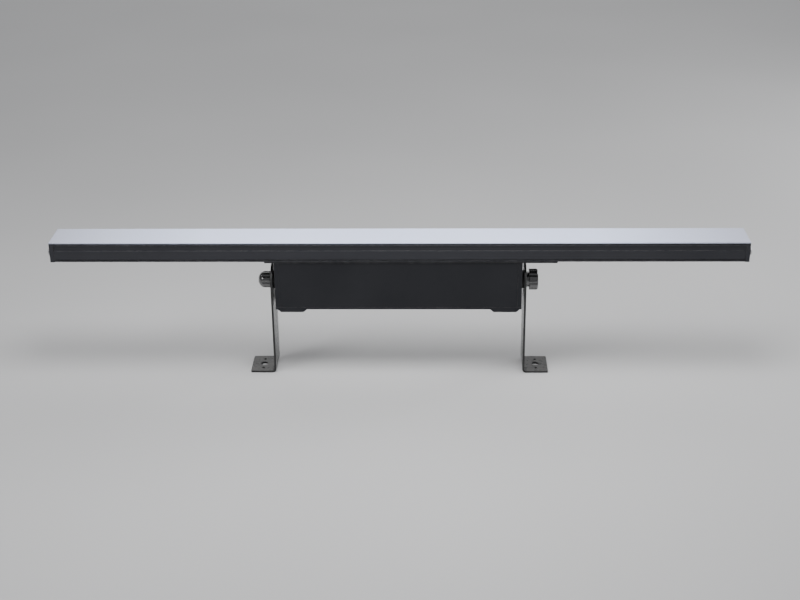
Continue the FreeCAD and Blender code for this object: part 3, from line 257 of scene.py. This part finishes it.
# %% [markdown]
# ### Uneven tone
#
# Over a hand's width, any coat is a little lighter here and darker there, from its thickness and from how
# it was handled. One slow noise gives that drift, and a second, finer one gives faint smudges on it.

# %% Tone group
tone_group, taken, given = new_group(
    "tone_drift", {"Patch Size": 0.08}, {"Drift": "Float", "Smudges": "Float"})
place = add_node(tone_group, "TexCoord").outputs["Object"]
per_metre = calculate(tone_group, "DIVIDE", 1.0, taken["Patch Size"])
slow = add_node(tone_group, "TexNoise", {"Vector": place, "Scale": per_metre, "Detail": 1.0})
faster = calculate(tone_group, "MULTIPLY", per_metre, 6.0)
smudged = {"Vector": place, "Scale": faster, "Detail": 6.0, "Distortion": 0.6}
quick = add_node(tone_group, "TexNoise", smudged)
tone_group.links.new(stretch(tone_group, slow.outputs["Fac"], 0.3, 0.7), given["Drift"])
tone_group.links.new(stretch(tone_group, quick.outputs["Fac"], 0.45, 0.75), given["Smudges"])
print("node groups:", sorted(group.name for group in bpy.data.node_groups))

# %% [markdown]
# ## How the finishes are put together
#
# Every finish below has the same layers, from the inside out: a base colour that drifts, drawn lines, pits
# of the grain, worn edges that show what lies under the coat, and dust. The lines and pits are painted
# darker, which is painted shade. Roughness follows the same masks, and the grain and lines also give the
# height for a small bump. What differs is the amount of each layer, so one function builds the tree and each
# finish gives its own amounts.

# %% The layered finish
materials = {}
DUST = (0.36, 0.33, 0.29, 1)
LINE_SHADE = 0.55
PIT_SHADE = 0.35


def finish(name, colour, second, roughness, worn_and_highlight=(0.5, 0.5, 0.52), metallic=0.0, grain=0.0006, pit=0.12,
           bump=0.00003, edge=0.0004, wear_and_highlight=0.5, dust=0.15, lines=0.0, squeeze=(6.0, 900.0, 900.0),
           drift=0.08, gloss_range=0.12, **uniform):
    """A material in layers. colour and second are the two ends of the uneven base tone.

    uniform holds settings that are the same all over, such as Coat Roughness.
    """
    material = bpy.data.materials.new(name)
    material.use_nodes = True
    tree = material.node_tree
    shader = tree.nodes["Principled BSDF"]
    shader.inputs["Metallic"].default_value = metallic
    for socket, amount in uniform.items():
        shader.inputs[socket.replace("_", " ")].default_value = amount

    tone = place_group(tree, tone_group, Patch_Size=drift)
    skin = place_group(tree, grain_group, Size=grain)
    edges = place_group(tree, edge_group, Width=edge, Amount=wear_and_highlight)
    film = place_group(tree, dust_group, Amount=dust)
    drawn = place_group(tree, line_group, Squeeze=squeeze)

    shade = blend_colours(tree, tone["Drift"], (*colour, 1), (*second, 1))
    # Painted shade: the drawn lines and the pits of the grain are darkened.
    line_mask = calculate(tree, "MULTIPLY", drawn["Lines"], lines)
    shade = blend_colours(tree, line_mask, shade, (*[part * LINE_SHADE for part in colour], 1))
    pit_mask = calculate(tree, "MULTIPLY", skin["Pits"], pit)
    shade = blend_colours(tree, pit_mask, shade, (*[part * PIT_SHADE for part in colour], 1))
    # Worn edges; on some finishes this light edge colour is also a painted highlight.
    shade = blend_colours(tree, edges["Wear And Highlight"], shade, (*worn_and_highlight, 1))
    shade = blend_colours(tree, film["Dust"], shade, DUST)
    tree.links.new(shade, shader.inputs["Base Color"])

    rough = stretch(tree, tone["Smudges"], 0.0, 1.0, roughness, roughness + gloss_range)
    rough = calculate(tree, "ADD", rough, calculate(tree, "MULTIPLY", line_mask, gloss_range))
    rough = calculate(tree, "ADD", rough, calculate(tree, "MULTIPLY", film["Dust"], 0.5), clamp=True)
    tree.links.new(rough, shader.inputs["Roughness"])

    height = calculate(tree, "ADD", skin["Height"], line_mask)
    feeds = {"Height": height, "Strength": 1.0, "Distance": bump, "Normal": edges["Normal"]}
    tree.links.new(add_node(tree, "Bump", feeds).outputs["Normal"], shader.inputs["Normal"])
    materials[name] = material
    return material


# %% [markdown]
# ### One more layer where a finish needs it
#
# Some finishes have something that the others lack, like the cut edges of the bracket strip, which are dull
# and painted dark as painted shade. Such a layer goes on last, over the ones below it, wherever its own mask
# is 1. It changes the colour and adds to the roughness, so the layers below stay as they are.

# %% Lay a layer over a finish
def overlay(material, mask, colour, rougher=0.0):
    """Cover a finish with a colour, and make it rougher, wherever the mask is 1."""
    tree = material.node_tree
    shader = tree.nodes["Principled BSDF"]
    under = shader.inputs["Base Color"].links[0].from_socket
    tree.links.new(blend_colours(tree, mask, under, (*colour, 1)), shader.inputs["Base Color"])
    rough = shader.inputs["Roughness"].links[0].from_socket
    added = calculate(tree, "MULTIPLY", mask, rougher)
    tree.links.new(calculate(tree, "ADD", rough, added, clamp=True), shader.inputs["Roughness"])


print("layers can be laid over", len(materials), "finishes")

# %% [markdown]
# ## Coated metal
#
# The bar is an aluminium extrusion with a fine charcoal powder coat. The box and the plate between them
# have the same coat in slightly darker shades. Paint over a smooth base colour would look like plastic.
# What tells them apart is the grain, the thin bright line along the edges, which is partly rubbed metal and
# partly a painted highlight, and, on the bar, faint lines from the die that run its whole length under the
# coat.

# %% Coated finishes
BARE_ALUMINIUM_AND_HIGHLIGHT = (0.42, 0.42, 0.43)
# The bar's light edge line is partly rubbed metal and partly a painted highlight.
finish("bar_coating", (0.0235, 0.0243, 0.0302), (0.0297, 0.0305, 0.0368), 0.4, worn_and_highlight=BARE_ALUMINIUM_AND_HIGHLIGHT, grain=0.00055,
       pit=0.25, bump=0.000022, edge=0.0005, wear_and_highlight=0.26, dust=0.06, lines=0.3, squeeze=(3.0, 700.0, 700.0),
       Specular_IOR_Level=0.36)
finish("box_coating", (0.0112, 0.0118, 0.0152), (0.0152, 0.0159, 0.0198), 0.44, worn_and_highlight=BARE_ALUMINIUM_AND_HIGHLIGHT, grain=0.0007,
       pit=0.3, bump=0.00003, edge=0.0006, wear_and_highlight=0.16, dust=0.05, Specular_IOR_Level=0.28)
# On the plate the large edge wear is a painted highlight along its edges.
finish("plate_coating", (0.017, 0.0175, 0.02), (0.022, 0.0225, 0.026), 0.43, worn_and_highlight=BARE_ALUMINIUM_AND_HIGHLIGHT, grain=0.0007,
       pit=0.3, bump=0.00003, edge=0.0006, wear_and_highlight=0.6, dust=0.08, Specular_IOR_Level=0.32)
print("coated finishes:", sorted(materials))

# %% [markdown]
# ## Bare metal
#
# The brackets are plated steel strip, brushed along their length, so their lines run up the upright and on
# out along the foot. Both of those lie across Y, and a squeeze that is strong only in Y gives lines that
# follow the bend. The strip was sheared to width, and its cut edges are duller than the brushed faces; they
# are also painted nearly black, which is painted shade. Their normals tell them apart: a cut edge faces
# along Y, or it belongs to the round end of the upright or the tip of the foot. The top of each foot is
# painted a shade darker too, which is painted shade.

# %% Bracket steel
PIVOT_HEIGHT = 0.14
FOOT_TIP = 0.2195
FOOT_HIGH = 0.01
DULL_STEEL_AND_PAINTED_SHADE = (0.06, 0.06, 0.06)
strip_steel = finish("bracket_steel", (0.12, 0.12, 0.12), (0.16, 0.16, 0.159), 0.21, worn_and_highlight=(0.34, 0.34, 0.34),
                     metallic=1.0, grain=0.0009, pit=0.12, bump=0.000012, edge=0.0005, wear_and_highlight=0.4, dust=0.1,
                     lines=0.5, squeeze=(9.0, 1400.0, 9.0), drift=0.05, gloss_range=0.2)
strip_tree = strip_steel.node_tree
coordinates = add_node(strip_tree, "TexCoord").outputs
facing = add_node(strip_tree, "SeparateXYZ", {"Vector": coordinates["Normal"]}).outputs
spot = add_node(strip_tree, "SeparateXYZ", {"Vector": coordinates["Object"]}).outputs
long_edge = stretch(strip_tree, calculate(strip_tree, "ABSOLUTE", facing["Y"]), 0.55, 0.8)
above_pivot = stretch(strip_tree, spot["Z"], PIVOT_HEIGHT, PIVOT_HEIGHT + 0.003)
round_end = calculate(strip_tree, "MULTIPLY", above_pivot, stretch(strip_tree, facing["Z"], 0.3, 0.6))
sideways = calculate(strip_tree, "ABSOLUTE", facing["X"])
from_middle = calculate(strip_tree, "ABSOLUTE", spot["X"])
far_out = stretch(strip_tree, from_middle, FOOT_TIP - 0.0005, FOOT_TIP)
foot_tip = calculate(strip_tree, "MULTIPLY", sideways, far_out)
cut_edge = calculate(strip_tree, "MAXIMUM", long_edge, round_end)
cut_edge = calculate(strip_tree, "MAXIMUM", cut_edge, foot_tip)
# Cut edges are rougher, and painted nearly black as painted shade.
overlay(strip_steel, cut_edge, DULL_STEEL_AND_PAINTED_SHADE, rougher=0.22)
# Painted shade: near the ground, the upward face of each foot is painted a shade darker.
near_ground = calculate(strip_tree, "LESS_THAN", spot["Z"], FOOT_HIGH)
painted_shade_on_top = stretch(strip_tree, facing["Z"], 0.8, 0.95, 0.0, 0.5)
overlay(strip_steel, calculate(strip_tree, "MULTIPLY", near_ground, painted_shade_on_top), DULL_STEEL_AND_PAINTED_SHADE)
print("bracket steel has", len(strip_tree.nodes), "nodes")

# %% [markdown]
# ### Screws, inserts and the driver's case
#
# The other metals need no layer of their own. Screws and washers are stainless steel: brighter than the
# strip, with a finer grain. The threaded inserts of the knobs are brass, and the driver sits in a case of
# brushed aluminium. They could share one metal, but their colours tell them apart once the light is open.

# %% Other metals
finish("screw_steel", (0.42, 0.42, 0.43), (0.5, 0.5, 0.51), 0.26, worn_and_highlight=(0.7, 0.7, 0.71), metallic=1.0,
       grain=0.0005, pit=0.1, bump=0.000004, edge=0.0003, wear_and_highlight=0.5, dust=0.08, lines=0.08,
       squeeze=(300.0, 300.0, 300.0), drift=0.01)
finish("insert_brass", (0.62, 0.43, 0.17), (0.7, 0.52, 0.24), 0.28, worn_and_highlight=(0.85, 0.7, 0.4), metallic=1.0,
       grain=0.0004, bump=0.000008, dust=0.05, drift=0.01)
finish("driver_case", (0.55, 0.55, 0.56), (0.62, 0.62, 0.63), 0.38, worn_and_highlight=(0.8, 0.8, 0.8), metallic=1.0,
       grain=0.0006, lines=0.4, squeeze=(5.0, 900.0, 900.0))
print("finishes so far:", len(materials))

# %% [markdown]
# ## The opal sheet
#
# The diffuser is opal polycarbonate with a satin face. It isn't lit here, so it shows as a cool, nearly
# white surface. Real depth could come from light scattered inside the sheet, but at two millimetres over a
# closed bar that is hardly visible and slow to render. A pale base, a thin soft coat and very fine grain
# give the same look, with faint smudges that show only in the reflection. In the photograph the sheet gets
# slowly darker toward both ends. Smaller lamps could do that, but they would harden every shadow, so a soft
# mask along the bar does it here.

# %% Opal finish
BAR_END = 0.5
EVEN_REACH = 0.28
# The near-white worn edge colour draws a bright line along the sheet's edges, which is a painted highlight.
opal = finish("opal_sheet", (0.66, 0.735, 0.98), (0.69, 0.765, 1.0), 0.34, worn_and_highlight=(0.95, 0.96, 0.99),
              grain=0.0003, pit=0.02, bump=0.000004, edge=0.0008, wear_and_highlight=0.8, dust=0.04, drift=0.16,
              gloss_range=0.1, Coat_Weight=0.25, Coat_Roughness=0.22, IOR=1.58)
opal_tree = opal.node_tree
place = add_node(opal_tree, "TexCoord").outputs["Object"]
along_bar = add_node(opal_tree, "SeparateXYZ", {"Vector": place}).outputs["X"]
from_middle = calculate(opal_tree, "ABSOLUTE", along_bar)
overlay(opal, stretch(opal_tree, from_middle, EVEN_REACH, BAR_END, 0.0, 0.95), (0.4, 0.42, 0.515))
print("the opal sheet is finish number", len(materials))

# %% [markdown]
# ## Plastics and rubber
#
# The knobs are black moulded plastic with a hard gloss skin, which mirrors the lamps in small bright spots.
# Their rims are painted lighter through the worn edge colour, which is a painted highlight.
# The cable gland is satin from the eroded skin of its mould. The seals are rubber: rougher, with no bright
# edge. The pieces inside the bar and the box get their finishes too, because they show once the light is
# taken apart.

# %% Plastic and rubber finishes
# Painted highlight: the light edge colour and its large amount draw bright rims on the knobs.
finish("knob_plastic", (0.009, 0.009, 0.01), (0.014, 0.014, 0.016), 0.2, worn_and_highlight=(0.12, 0.12, 0.125),
       grain=0.0005, pit=0.35, bump=0.000008, edge=0.0007, wear_and_highlight=0.8, dust=0.05, drift=0.01, gloss_range=0.12,
       Coat_Weight=1.0, Coat_Roughness=0.07, Coat_IOR=1.9)
finish("gland_plastic", (0.017, 0.017, 0.018), (0.023, 0.023, 0.025), 0.38, worn_and_highlight=(0.06, 0.06, 0.065),
       grain=0.0006, pit=0.3, bump=0.00002, edge=0.0005, wear_and_highlight=0.4, dust=0.1, drift=0.01)
finish("washer_nylon", (0.02, 0.02, 0.021), (0.026, 0.026, 0.028), 0.4, worn_and_highlight=(0.06, 0.06, 0.06),
       grain=0.0006, dust=0.08, drift=0.01)
finish("seal_rubber", (0.012, 0.012, 0.013), (0.018, 0.018, 0.019), 0.62, worn_and_highlight=(0.03, 0.03, 0.03),
       grain=0.0008, pit=0.2, bump=0.00003, wear_and_highlight=0.2, dust=0.12, drift=0.02)
finish("lead_sleeve", (0.02, 0.02, 0.021), (0.028, 0.028, 0.03), 0.48, worn_and_highlight=(0.05, 0.05, 0.05), drift=0.02)
finish("inner_plastic", (0.62, 0.61, 0.57), (0.68, 0.67, 0.63), 0.4, worn_and_highlight=(0.75, 0.75, 0.72), drift=0.02)
finish("board_white", (0.76, 0.77, 0.75), (0.82, 0.83, 0.81), 0.35, worn_and_highlight=(0.55, 0.5, 0.35), grain=0.0005,
       bump=0.00001, drift=0.03)
finish("chip_phosphor", (0.82, 0.62, 0.16), (0.88, 0.7, 0.22), 0.3, worn_and_highlight=(0.9, 0.85, 0.6), drift=0.004)
print("all finishes:", len(materials))

# %% [markdown]
# ## Dressing the pieces
#
# The record of the solid model names one finish for every piece. Each could be set by hand, but a loop over
# the record can't forget one, and it gives every slot of a piece the same finish.

# %% Give every node its finish
for entry in frame["record"]["subparts"]:
    node = frame["nodes"][entry["node"]]
    for slot in node.material_slots:
        slot.material = materials[entry["material_slot"]]

# %% [markdown]
# ## Turned shapes with flutes and flats
#
# Knobs and gland nuts are round pieces with something cut into them all round. They could be made by
# cutting a turned body with other bodies, which leaves hard lips and long thin faces. Here the outline is
# turned in small steps, and the radius at each angle is held back where a flute or a flat takes material
# away. A smooth minimum makes the lips round, as a mould maker would.

# %% Outline and turning helpers
def smooth_least(first, second, soft):
    """The smaller of two lengths, with a rounded change from one to the other."""
    share = max(0.0, min(1.0, 0.5 + 0.5 * (second - first) / soft))
    return second + (first - second) * share - soft * share * (1 - share)


def round_outline(corners, steps=5):
    """Points (radius, along, fillet) to a finely stepped outline with rounded corners."""
    outline = []
    last = len(corners) - 1
    for index, (radius, along, fillet) in enumerate(corners):
        here = Vector((radius, along))
        if fillet == 0 or index in (0, last):
            outline.append(here)
            continue
        before = (Vector(corners[index - 1][:2]) - here).normalized() * fillet
        after = (Vector(corners[index + 1][:2]) - here).normalized() * fillet
        for step in range(steps + 1):
            share = step / steps
            outline.append(here + before * (1 - share) ** 2 + after * share ** 2)
    return outline


def divide_outline(outline, longest):
    """Add points to the long stretches of an outline."""
    dense = [outline[0]]
    for start, end in zip(outline, outline[1:]):
        parts = max(1, math.ceil((end - start).length / longest))
        dense += [start.lerp(end, part / parts) for part in range(1, parts + 1)]
    return dense


print("half way between 3 and 3, made soft:", round(smooth_least(3.0, 3.0, 0.5), 3))


# %% [markdown]
# ### From outline to mesh
#
# The outline is turned about an axis in many small steps, and each step joins its neighbours with
# four-sided faces. Where the outline touches the axis a ring shrinks to one point, so the faces there have
# three sides. The faces are shaded smooth, except across edges that are sharper than a given angle.

# %% Turn an outline into a mesh
ON_AXIS = 1e-6


def turned_piece(name, outline, origin, along, material, turns=192, shape=None, sharp=40):
    """Turn an outline, in mm, about the axis along from origin, in metres.

    shape(angle, radius, height) may hold the radius back.
    """
    axis = Vector(along)
    side = Vector((0, 0, 1))
    other = axis.cross(side)
    mesh = bmesh.new()
    rings = []
    for radius, height in outline:
        middle = Vector(origin) + axis * (height * MM)
        if radius < ON_AXIS:
            rings.append([mesh.verts.new(middle)])
            continue
        ring = []
        for turn in range(turns):
            angle = 2 * math.pi * turn / turns
            reach = (shape(angle, radius, height) if shape else radius) * MM
            across = side * (math.cos(angle) * reach)
            ring.append(mesh.verts.new(middle + across + other * (math.sin(angle) * reach)))
        rings.append(ring)
    for low, high in zip(rings, rings[1:]):
        for turn in range(turns):
            after = (turn + 1) % turns
            corners = [low[turn % len(low)], low[after % len(low)]]
            corners += [high[after % len(high)], high[turn % len(high)]]
            corners = list(dict.fromkeys(corners))
            if len(corners) > 2:
                mesh.faces.new(corners)
    return finished_mesh(name, mesh, material, sharp)


def finished_mesh(name, mesh, material, sharp=40):
    """Turn the working mesh into an object with smooth shading and its finish."""
    bmesh.ops.recalc_face_normals(mesh, faces=mesh.faces)
    data = bpy.data.meshes.new(name)
    mesh.to_mesh(data)
    mesh.free()
    data.shade_smooth()
    data.set_sharp_from_angle(angle=math.radians(sharp))
    data.materials.append(materials[material])
    piece = bpy.data.objects.new(name, data)
    bpy.context.scene.collection.objects.link(piece)
    return piece


print("turning helper is ready")

# %% [markdown]
# ## The two hand knobs
#
# Each knob clamps one side of the tilt. The left one is a dome on a straight skirt, the right one a short
# neck with a wide flat grip, and both have eight finger flutes. A flute is the trace of a round cutter that
# runs beside the knob, so its depth at each angle is worked out from that cutter's circle. The end of each
# knob has a shallow ring where the threaded bush was closed in.

# %% Flutes and the knobs' seats
FLUTES = 8
CUTTER = 3.0
FLUTE_DEPTH = 1.4
LIP_SOFT = 0.5


def fluted(rim, start):
    """Shape of a knob whose flutes are cut into a rim of that radius, from the height start on."""
    centre = rim + CUTTER - FLUTE_DEPTH

    def shape(angle, radius, height):
        if height < start or radius < rim - 2 * FLUTE_DEPTH:
            return radius
        pitch = 2 * math.pi / FLUTES
        off = (angle + pitch / 2) % pitch - pitch / 2
        room = CUTTER ** 2 - (centre * math.sin(off)) ** 2
        if room <= 0:
            return radius
        return smooth_least(radius, centre * math.cos(off) - math.sqrt(room), LIP_SOFT)
    return shape


def seat_of(node, far):
    """Where a knob's axis meets its washer. far is -1 for the left knob and 1 for the right one."""
    low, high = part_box(node)
    return Vector((high.x if far < 0 else low.x, (low.y + high.y) / 2, (low.z + high.z) / 2))


print("flutes on each knob:", FLUTES)

# %% [markdown]
# ### The outlines of both knobs
#
# Each outline starts at the bore for the brass insert, runs out along the face that bears on the washer,
# along the grip and in again to the axis. The dome's shoulder is a quarter of a circle. Each corner is
# given in millimetres, by its distance from the axis, its height above the washer and its rounding.

# %% Knobs
BORE = 6.5
DOME_RADIUS = 12
DOME_SKIRT = 8
DOME_BEND = 10
DOME_STEPS = 20
DOME_TOP = 17.9
RING_REACH = 5.5
GRIP_RADIUS = 15.5
NECK_RADIUS = 11.2
NECK_LONG = 2.8
KNOB_STEP = 0.7

dome = []
for step in range(DOME_STEPS + 1):
    angle = step * math.pi / (2 * DOME_STEPS)
    out = DOME_RADIUS - DOME_BEND + DOME_BEND * math.cos(angle)
    dome.append(Vector((out, DOME_SKIRT + DOME_BEND * math.sin(angle))))
side_outline = round_outline([(BORE, 0, 0), (11.6, 0, 0), (DOME_RADIUS, 0.4, 0)]) + dome
ring_groove = round_outline([(5.4, 17.4, 0), (5.1, 16.9, 0.1), (4.7, 17.0, 0.1), (4.4, 17.7, 0.1)], 2)
left_outline = [corner for corner in side_outline if corner.x > RING_REACH] + ring_groove
left_outline += [Vector((2, DOME_TOP)), Vector((0, DOME_TOP))]
knob_shell_left = turned_piece(
    "knob_shell_left", divide_outline(left_outline, KNOB_STEP), seat_of("knob_left", -1), (-1, 0, 0),
    "knob_plastic", shape=fluted(DOME_RADIUS, 0))
right_outline = round_outline([
    (BORE, 0, 0), (NECK_RADIUS, 0, 0.3), (NECK_RADIUS, NECK_LONG, 0.3), (GRIP_RADIUS, NECK_LONG, 0.8),
    (GRIP_RADIUS, 16, 3.2), (10.5, 16, 0.3), (10.1, 15.4, 0.3), (8.3, 15.4, 0.3), (7.9, 15.8, 0.3),
    (0, 15.8, 0),
])
knob_shell_right = turned_piece(
    "knob_shell_right", divide_outline(right_outline, KNOB_STEP), seat_of("knob_right", 1), (1, 0, 0),
    "knob_plastic", shape=fluted(GRIP_RADIUS, NECK_LONG))
left_shell = (knob_shell_left, "knob_left", "left_knob")
right_shell = (knob_shell_right, "knob_right", "right_knob")
for piece, node, body in (left_shell, right_shell):
    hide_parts(node)
    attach(piece, body)
    print(piece.name, "faces:", len(piece.data.polygons))

# %% [markdown]
# ## The cable gland
#
# The supply cable enters the back of the box through a gland: a hexagon against the box, and a domed nut
# that squeezes a rubber seal round the cable. Both are hexagons whose corners are cut by a round outline.
# The distance to a flat at each angle is simple to work out, so the same smooth minimum gives their shape.

# %% Gland hexagon and dome nut
ACROSS = 22.0
THREAD_REACH = 9
GLAND_TURNS = 144
gland_low, gland_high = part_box("gland_body")
middle_x = (gland_low.x + gland_high.x) / 2
middle_z = (gland_low.z + gland_high.z) / 2
wall = Vector((middle_x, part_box("driver_box")[1].y, middle_z))


def hexagonal(angle, radius, height):
    """The radius, held back where a flat of the hexagon is nearer. Threads and bores stay round."""
    if radius <= THREAD_REACH:
        return radius
    off = (angle + math.pi / 3) % (math.pi / 3) - math.pi / 6
    return smooth_least(radius, ACROSS / 2 / math.cos(off), 0.35)


hexagon_outline = round_outline([
    (8.2, 0, 0), (12.2, 0, 0.4), (12.9, 0.9, 0.4), (12.9, 4.1, 0.4), (12.2, 5, 0.4), (8.2, 5, 0.2),
    (8, 15, 0.3), (6.65, 15, 0.2), (6.65, 9, 0), (5.2, 9, 0), (5.2, -10.5, 0), (8, -10.5, 0), (8.2, 0, 0),
])
gland_hexagon = turned_piece(
    "gland_hexagon", divide_outline(hexagon_outline, 1.2), wall, (0, 1, 0), "gland_plastic",
    turns=GLAND_TURNS, shape=hexagonal)
nut_outline = round_outline([
    (8.05, 6, 0), (11.9, 6, 0.4), (12.7, 7, 0.6), (12.7, 13.4, 2.2), (10.6, 18.2, 1.6), (7.6, 19, 0.8),
    (5.4, 19, 0.5), (4.4, 18.4, 0.4), (4.4, 17, 0), (8.05, 17, 0), (8.05, 6, 0),
])
gland_dome_nut = turned_piece(
    "gland_dome_nut", divide_outline(nut_outline, 0.9), wall, (0, 1, 0), "gland_plastic",
    turns=GLAND_TURNS, shape=hexagonal)
for piece, node in ((gland_hexagon, "gland_body"), (gland_dome_nut, "gland_nut")):
    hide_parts(node)
    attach(piece, "lamp")
    print(piece.name, "faces:", len(piece.data.polygons))

# %% [markdown]
# ## The floor
#
# The light stands on a plain pale floor, as in a studio. A square floor would show its far corners, so this
# one is a wide disc. Its colour drifts very slowly, and its dull surface takes a soft shadow. It belongs to
# the scene and not to the light.

# %% Floor
floor_material = bpy.data.materials.new("studio_floor")
floor_material.use_nodes = True
floor_tree = floor_material.node_tree
floor_shader = floor_tree.nodes["Principled BSDF"]
floor_tone = place_group(floor_tree, tone_group, Patch_Size=0.5)
floor_shade = blend_colours(floor_tree, floor_tone["Drift"], (0.43, 0.43, 0.435, 1), (0.45, 0.45, 0.455, 1))
floor_tree.links.new(floor_shade, floor_shader.inputs["Base Color"])
floor_shader.inputs["Roughness"].default_value = 0.75

FLOOR_REACH = 12.0
floor_mesh = bmesh.new()
bmesh.ops.create_circle(floor_mesh, cap_ends=True, segments=96, radius=FLOOR_REACH)
materials["studio_floor"] = floor_material
floor = finished_mesh("studio_floor", floor_mesh, "studio_floor")
print("floor is", 2 * FLOOR_REACH, "m across")

# %% [markdown]
# ## Lamps and world
#
# Small bright lamps would give hard spots and black shadows, so all four are large soft areas. One close
# above the bar gives the opal sheet its brightness, which falls off a little toward the ends. One on the
# left and one on the right lift the front and draw the edges. A wide one far behind lights the floor there,
# because the brushed inner faces of the brackets mirror it at a flat angle. The world is a pale grey, so
# that bare steel has something bright to reflect from every side.

# %% Lamps and world
WORLD_COLOUR = (0.8, 0.81, 0.83, 1)
WORLD_STRENGTH = 0.42


def soft_lamp(name, place, wide, high, watts, aim=(0, 0, 0.12)):
    """A large rectangular lamp that points at the object."""
    lamp = bpy.data.objects.new(name, bpy.data.lights.new(name, "AREA"))
    lamp.data.shape = "RECTANGLE"
    lamp.data.size = wide
    lamp.data.size_y = high
    lamp.data.energy = watts
    lamp.location = place
    lamp.visible_camera = False
    lamp.rotation_euler = (Vector(aim) - Vector(place)).to_track_quat("-Z", "Y").to_euler()
    bpy.context.scene.collection.objects.link(lamp)


soft_lamp("lamp_above", (0.05, -0.25, 1.05), 0.7, 0.5, 14.2)
soft_lamp("lamp_left", (-1.7, -1.1, 1.5), 0.9, 0.9, 22)
soft_lamp("lamp_right", (1.8, 0.8, 0.7), 1.0, 0.8, 22)
soft_lamp("lamp_behind", (0.3, 3.4, 3.2), 5.0, 2.4, 70, aim=(0, 2.4, 0))
world = bpy.data.worlds.new("studio")
world.use_nodes = True
backdrop = world.node_tree.nodes["Background"]
backdrop.inputs["Color"].default_value = WORLD_COLOUR
backdrop.inputs["Strength"].default_value = WORLD_STRENGTH
bpy.context.scene.world = world
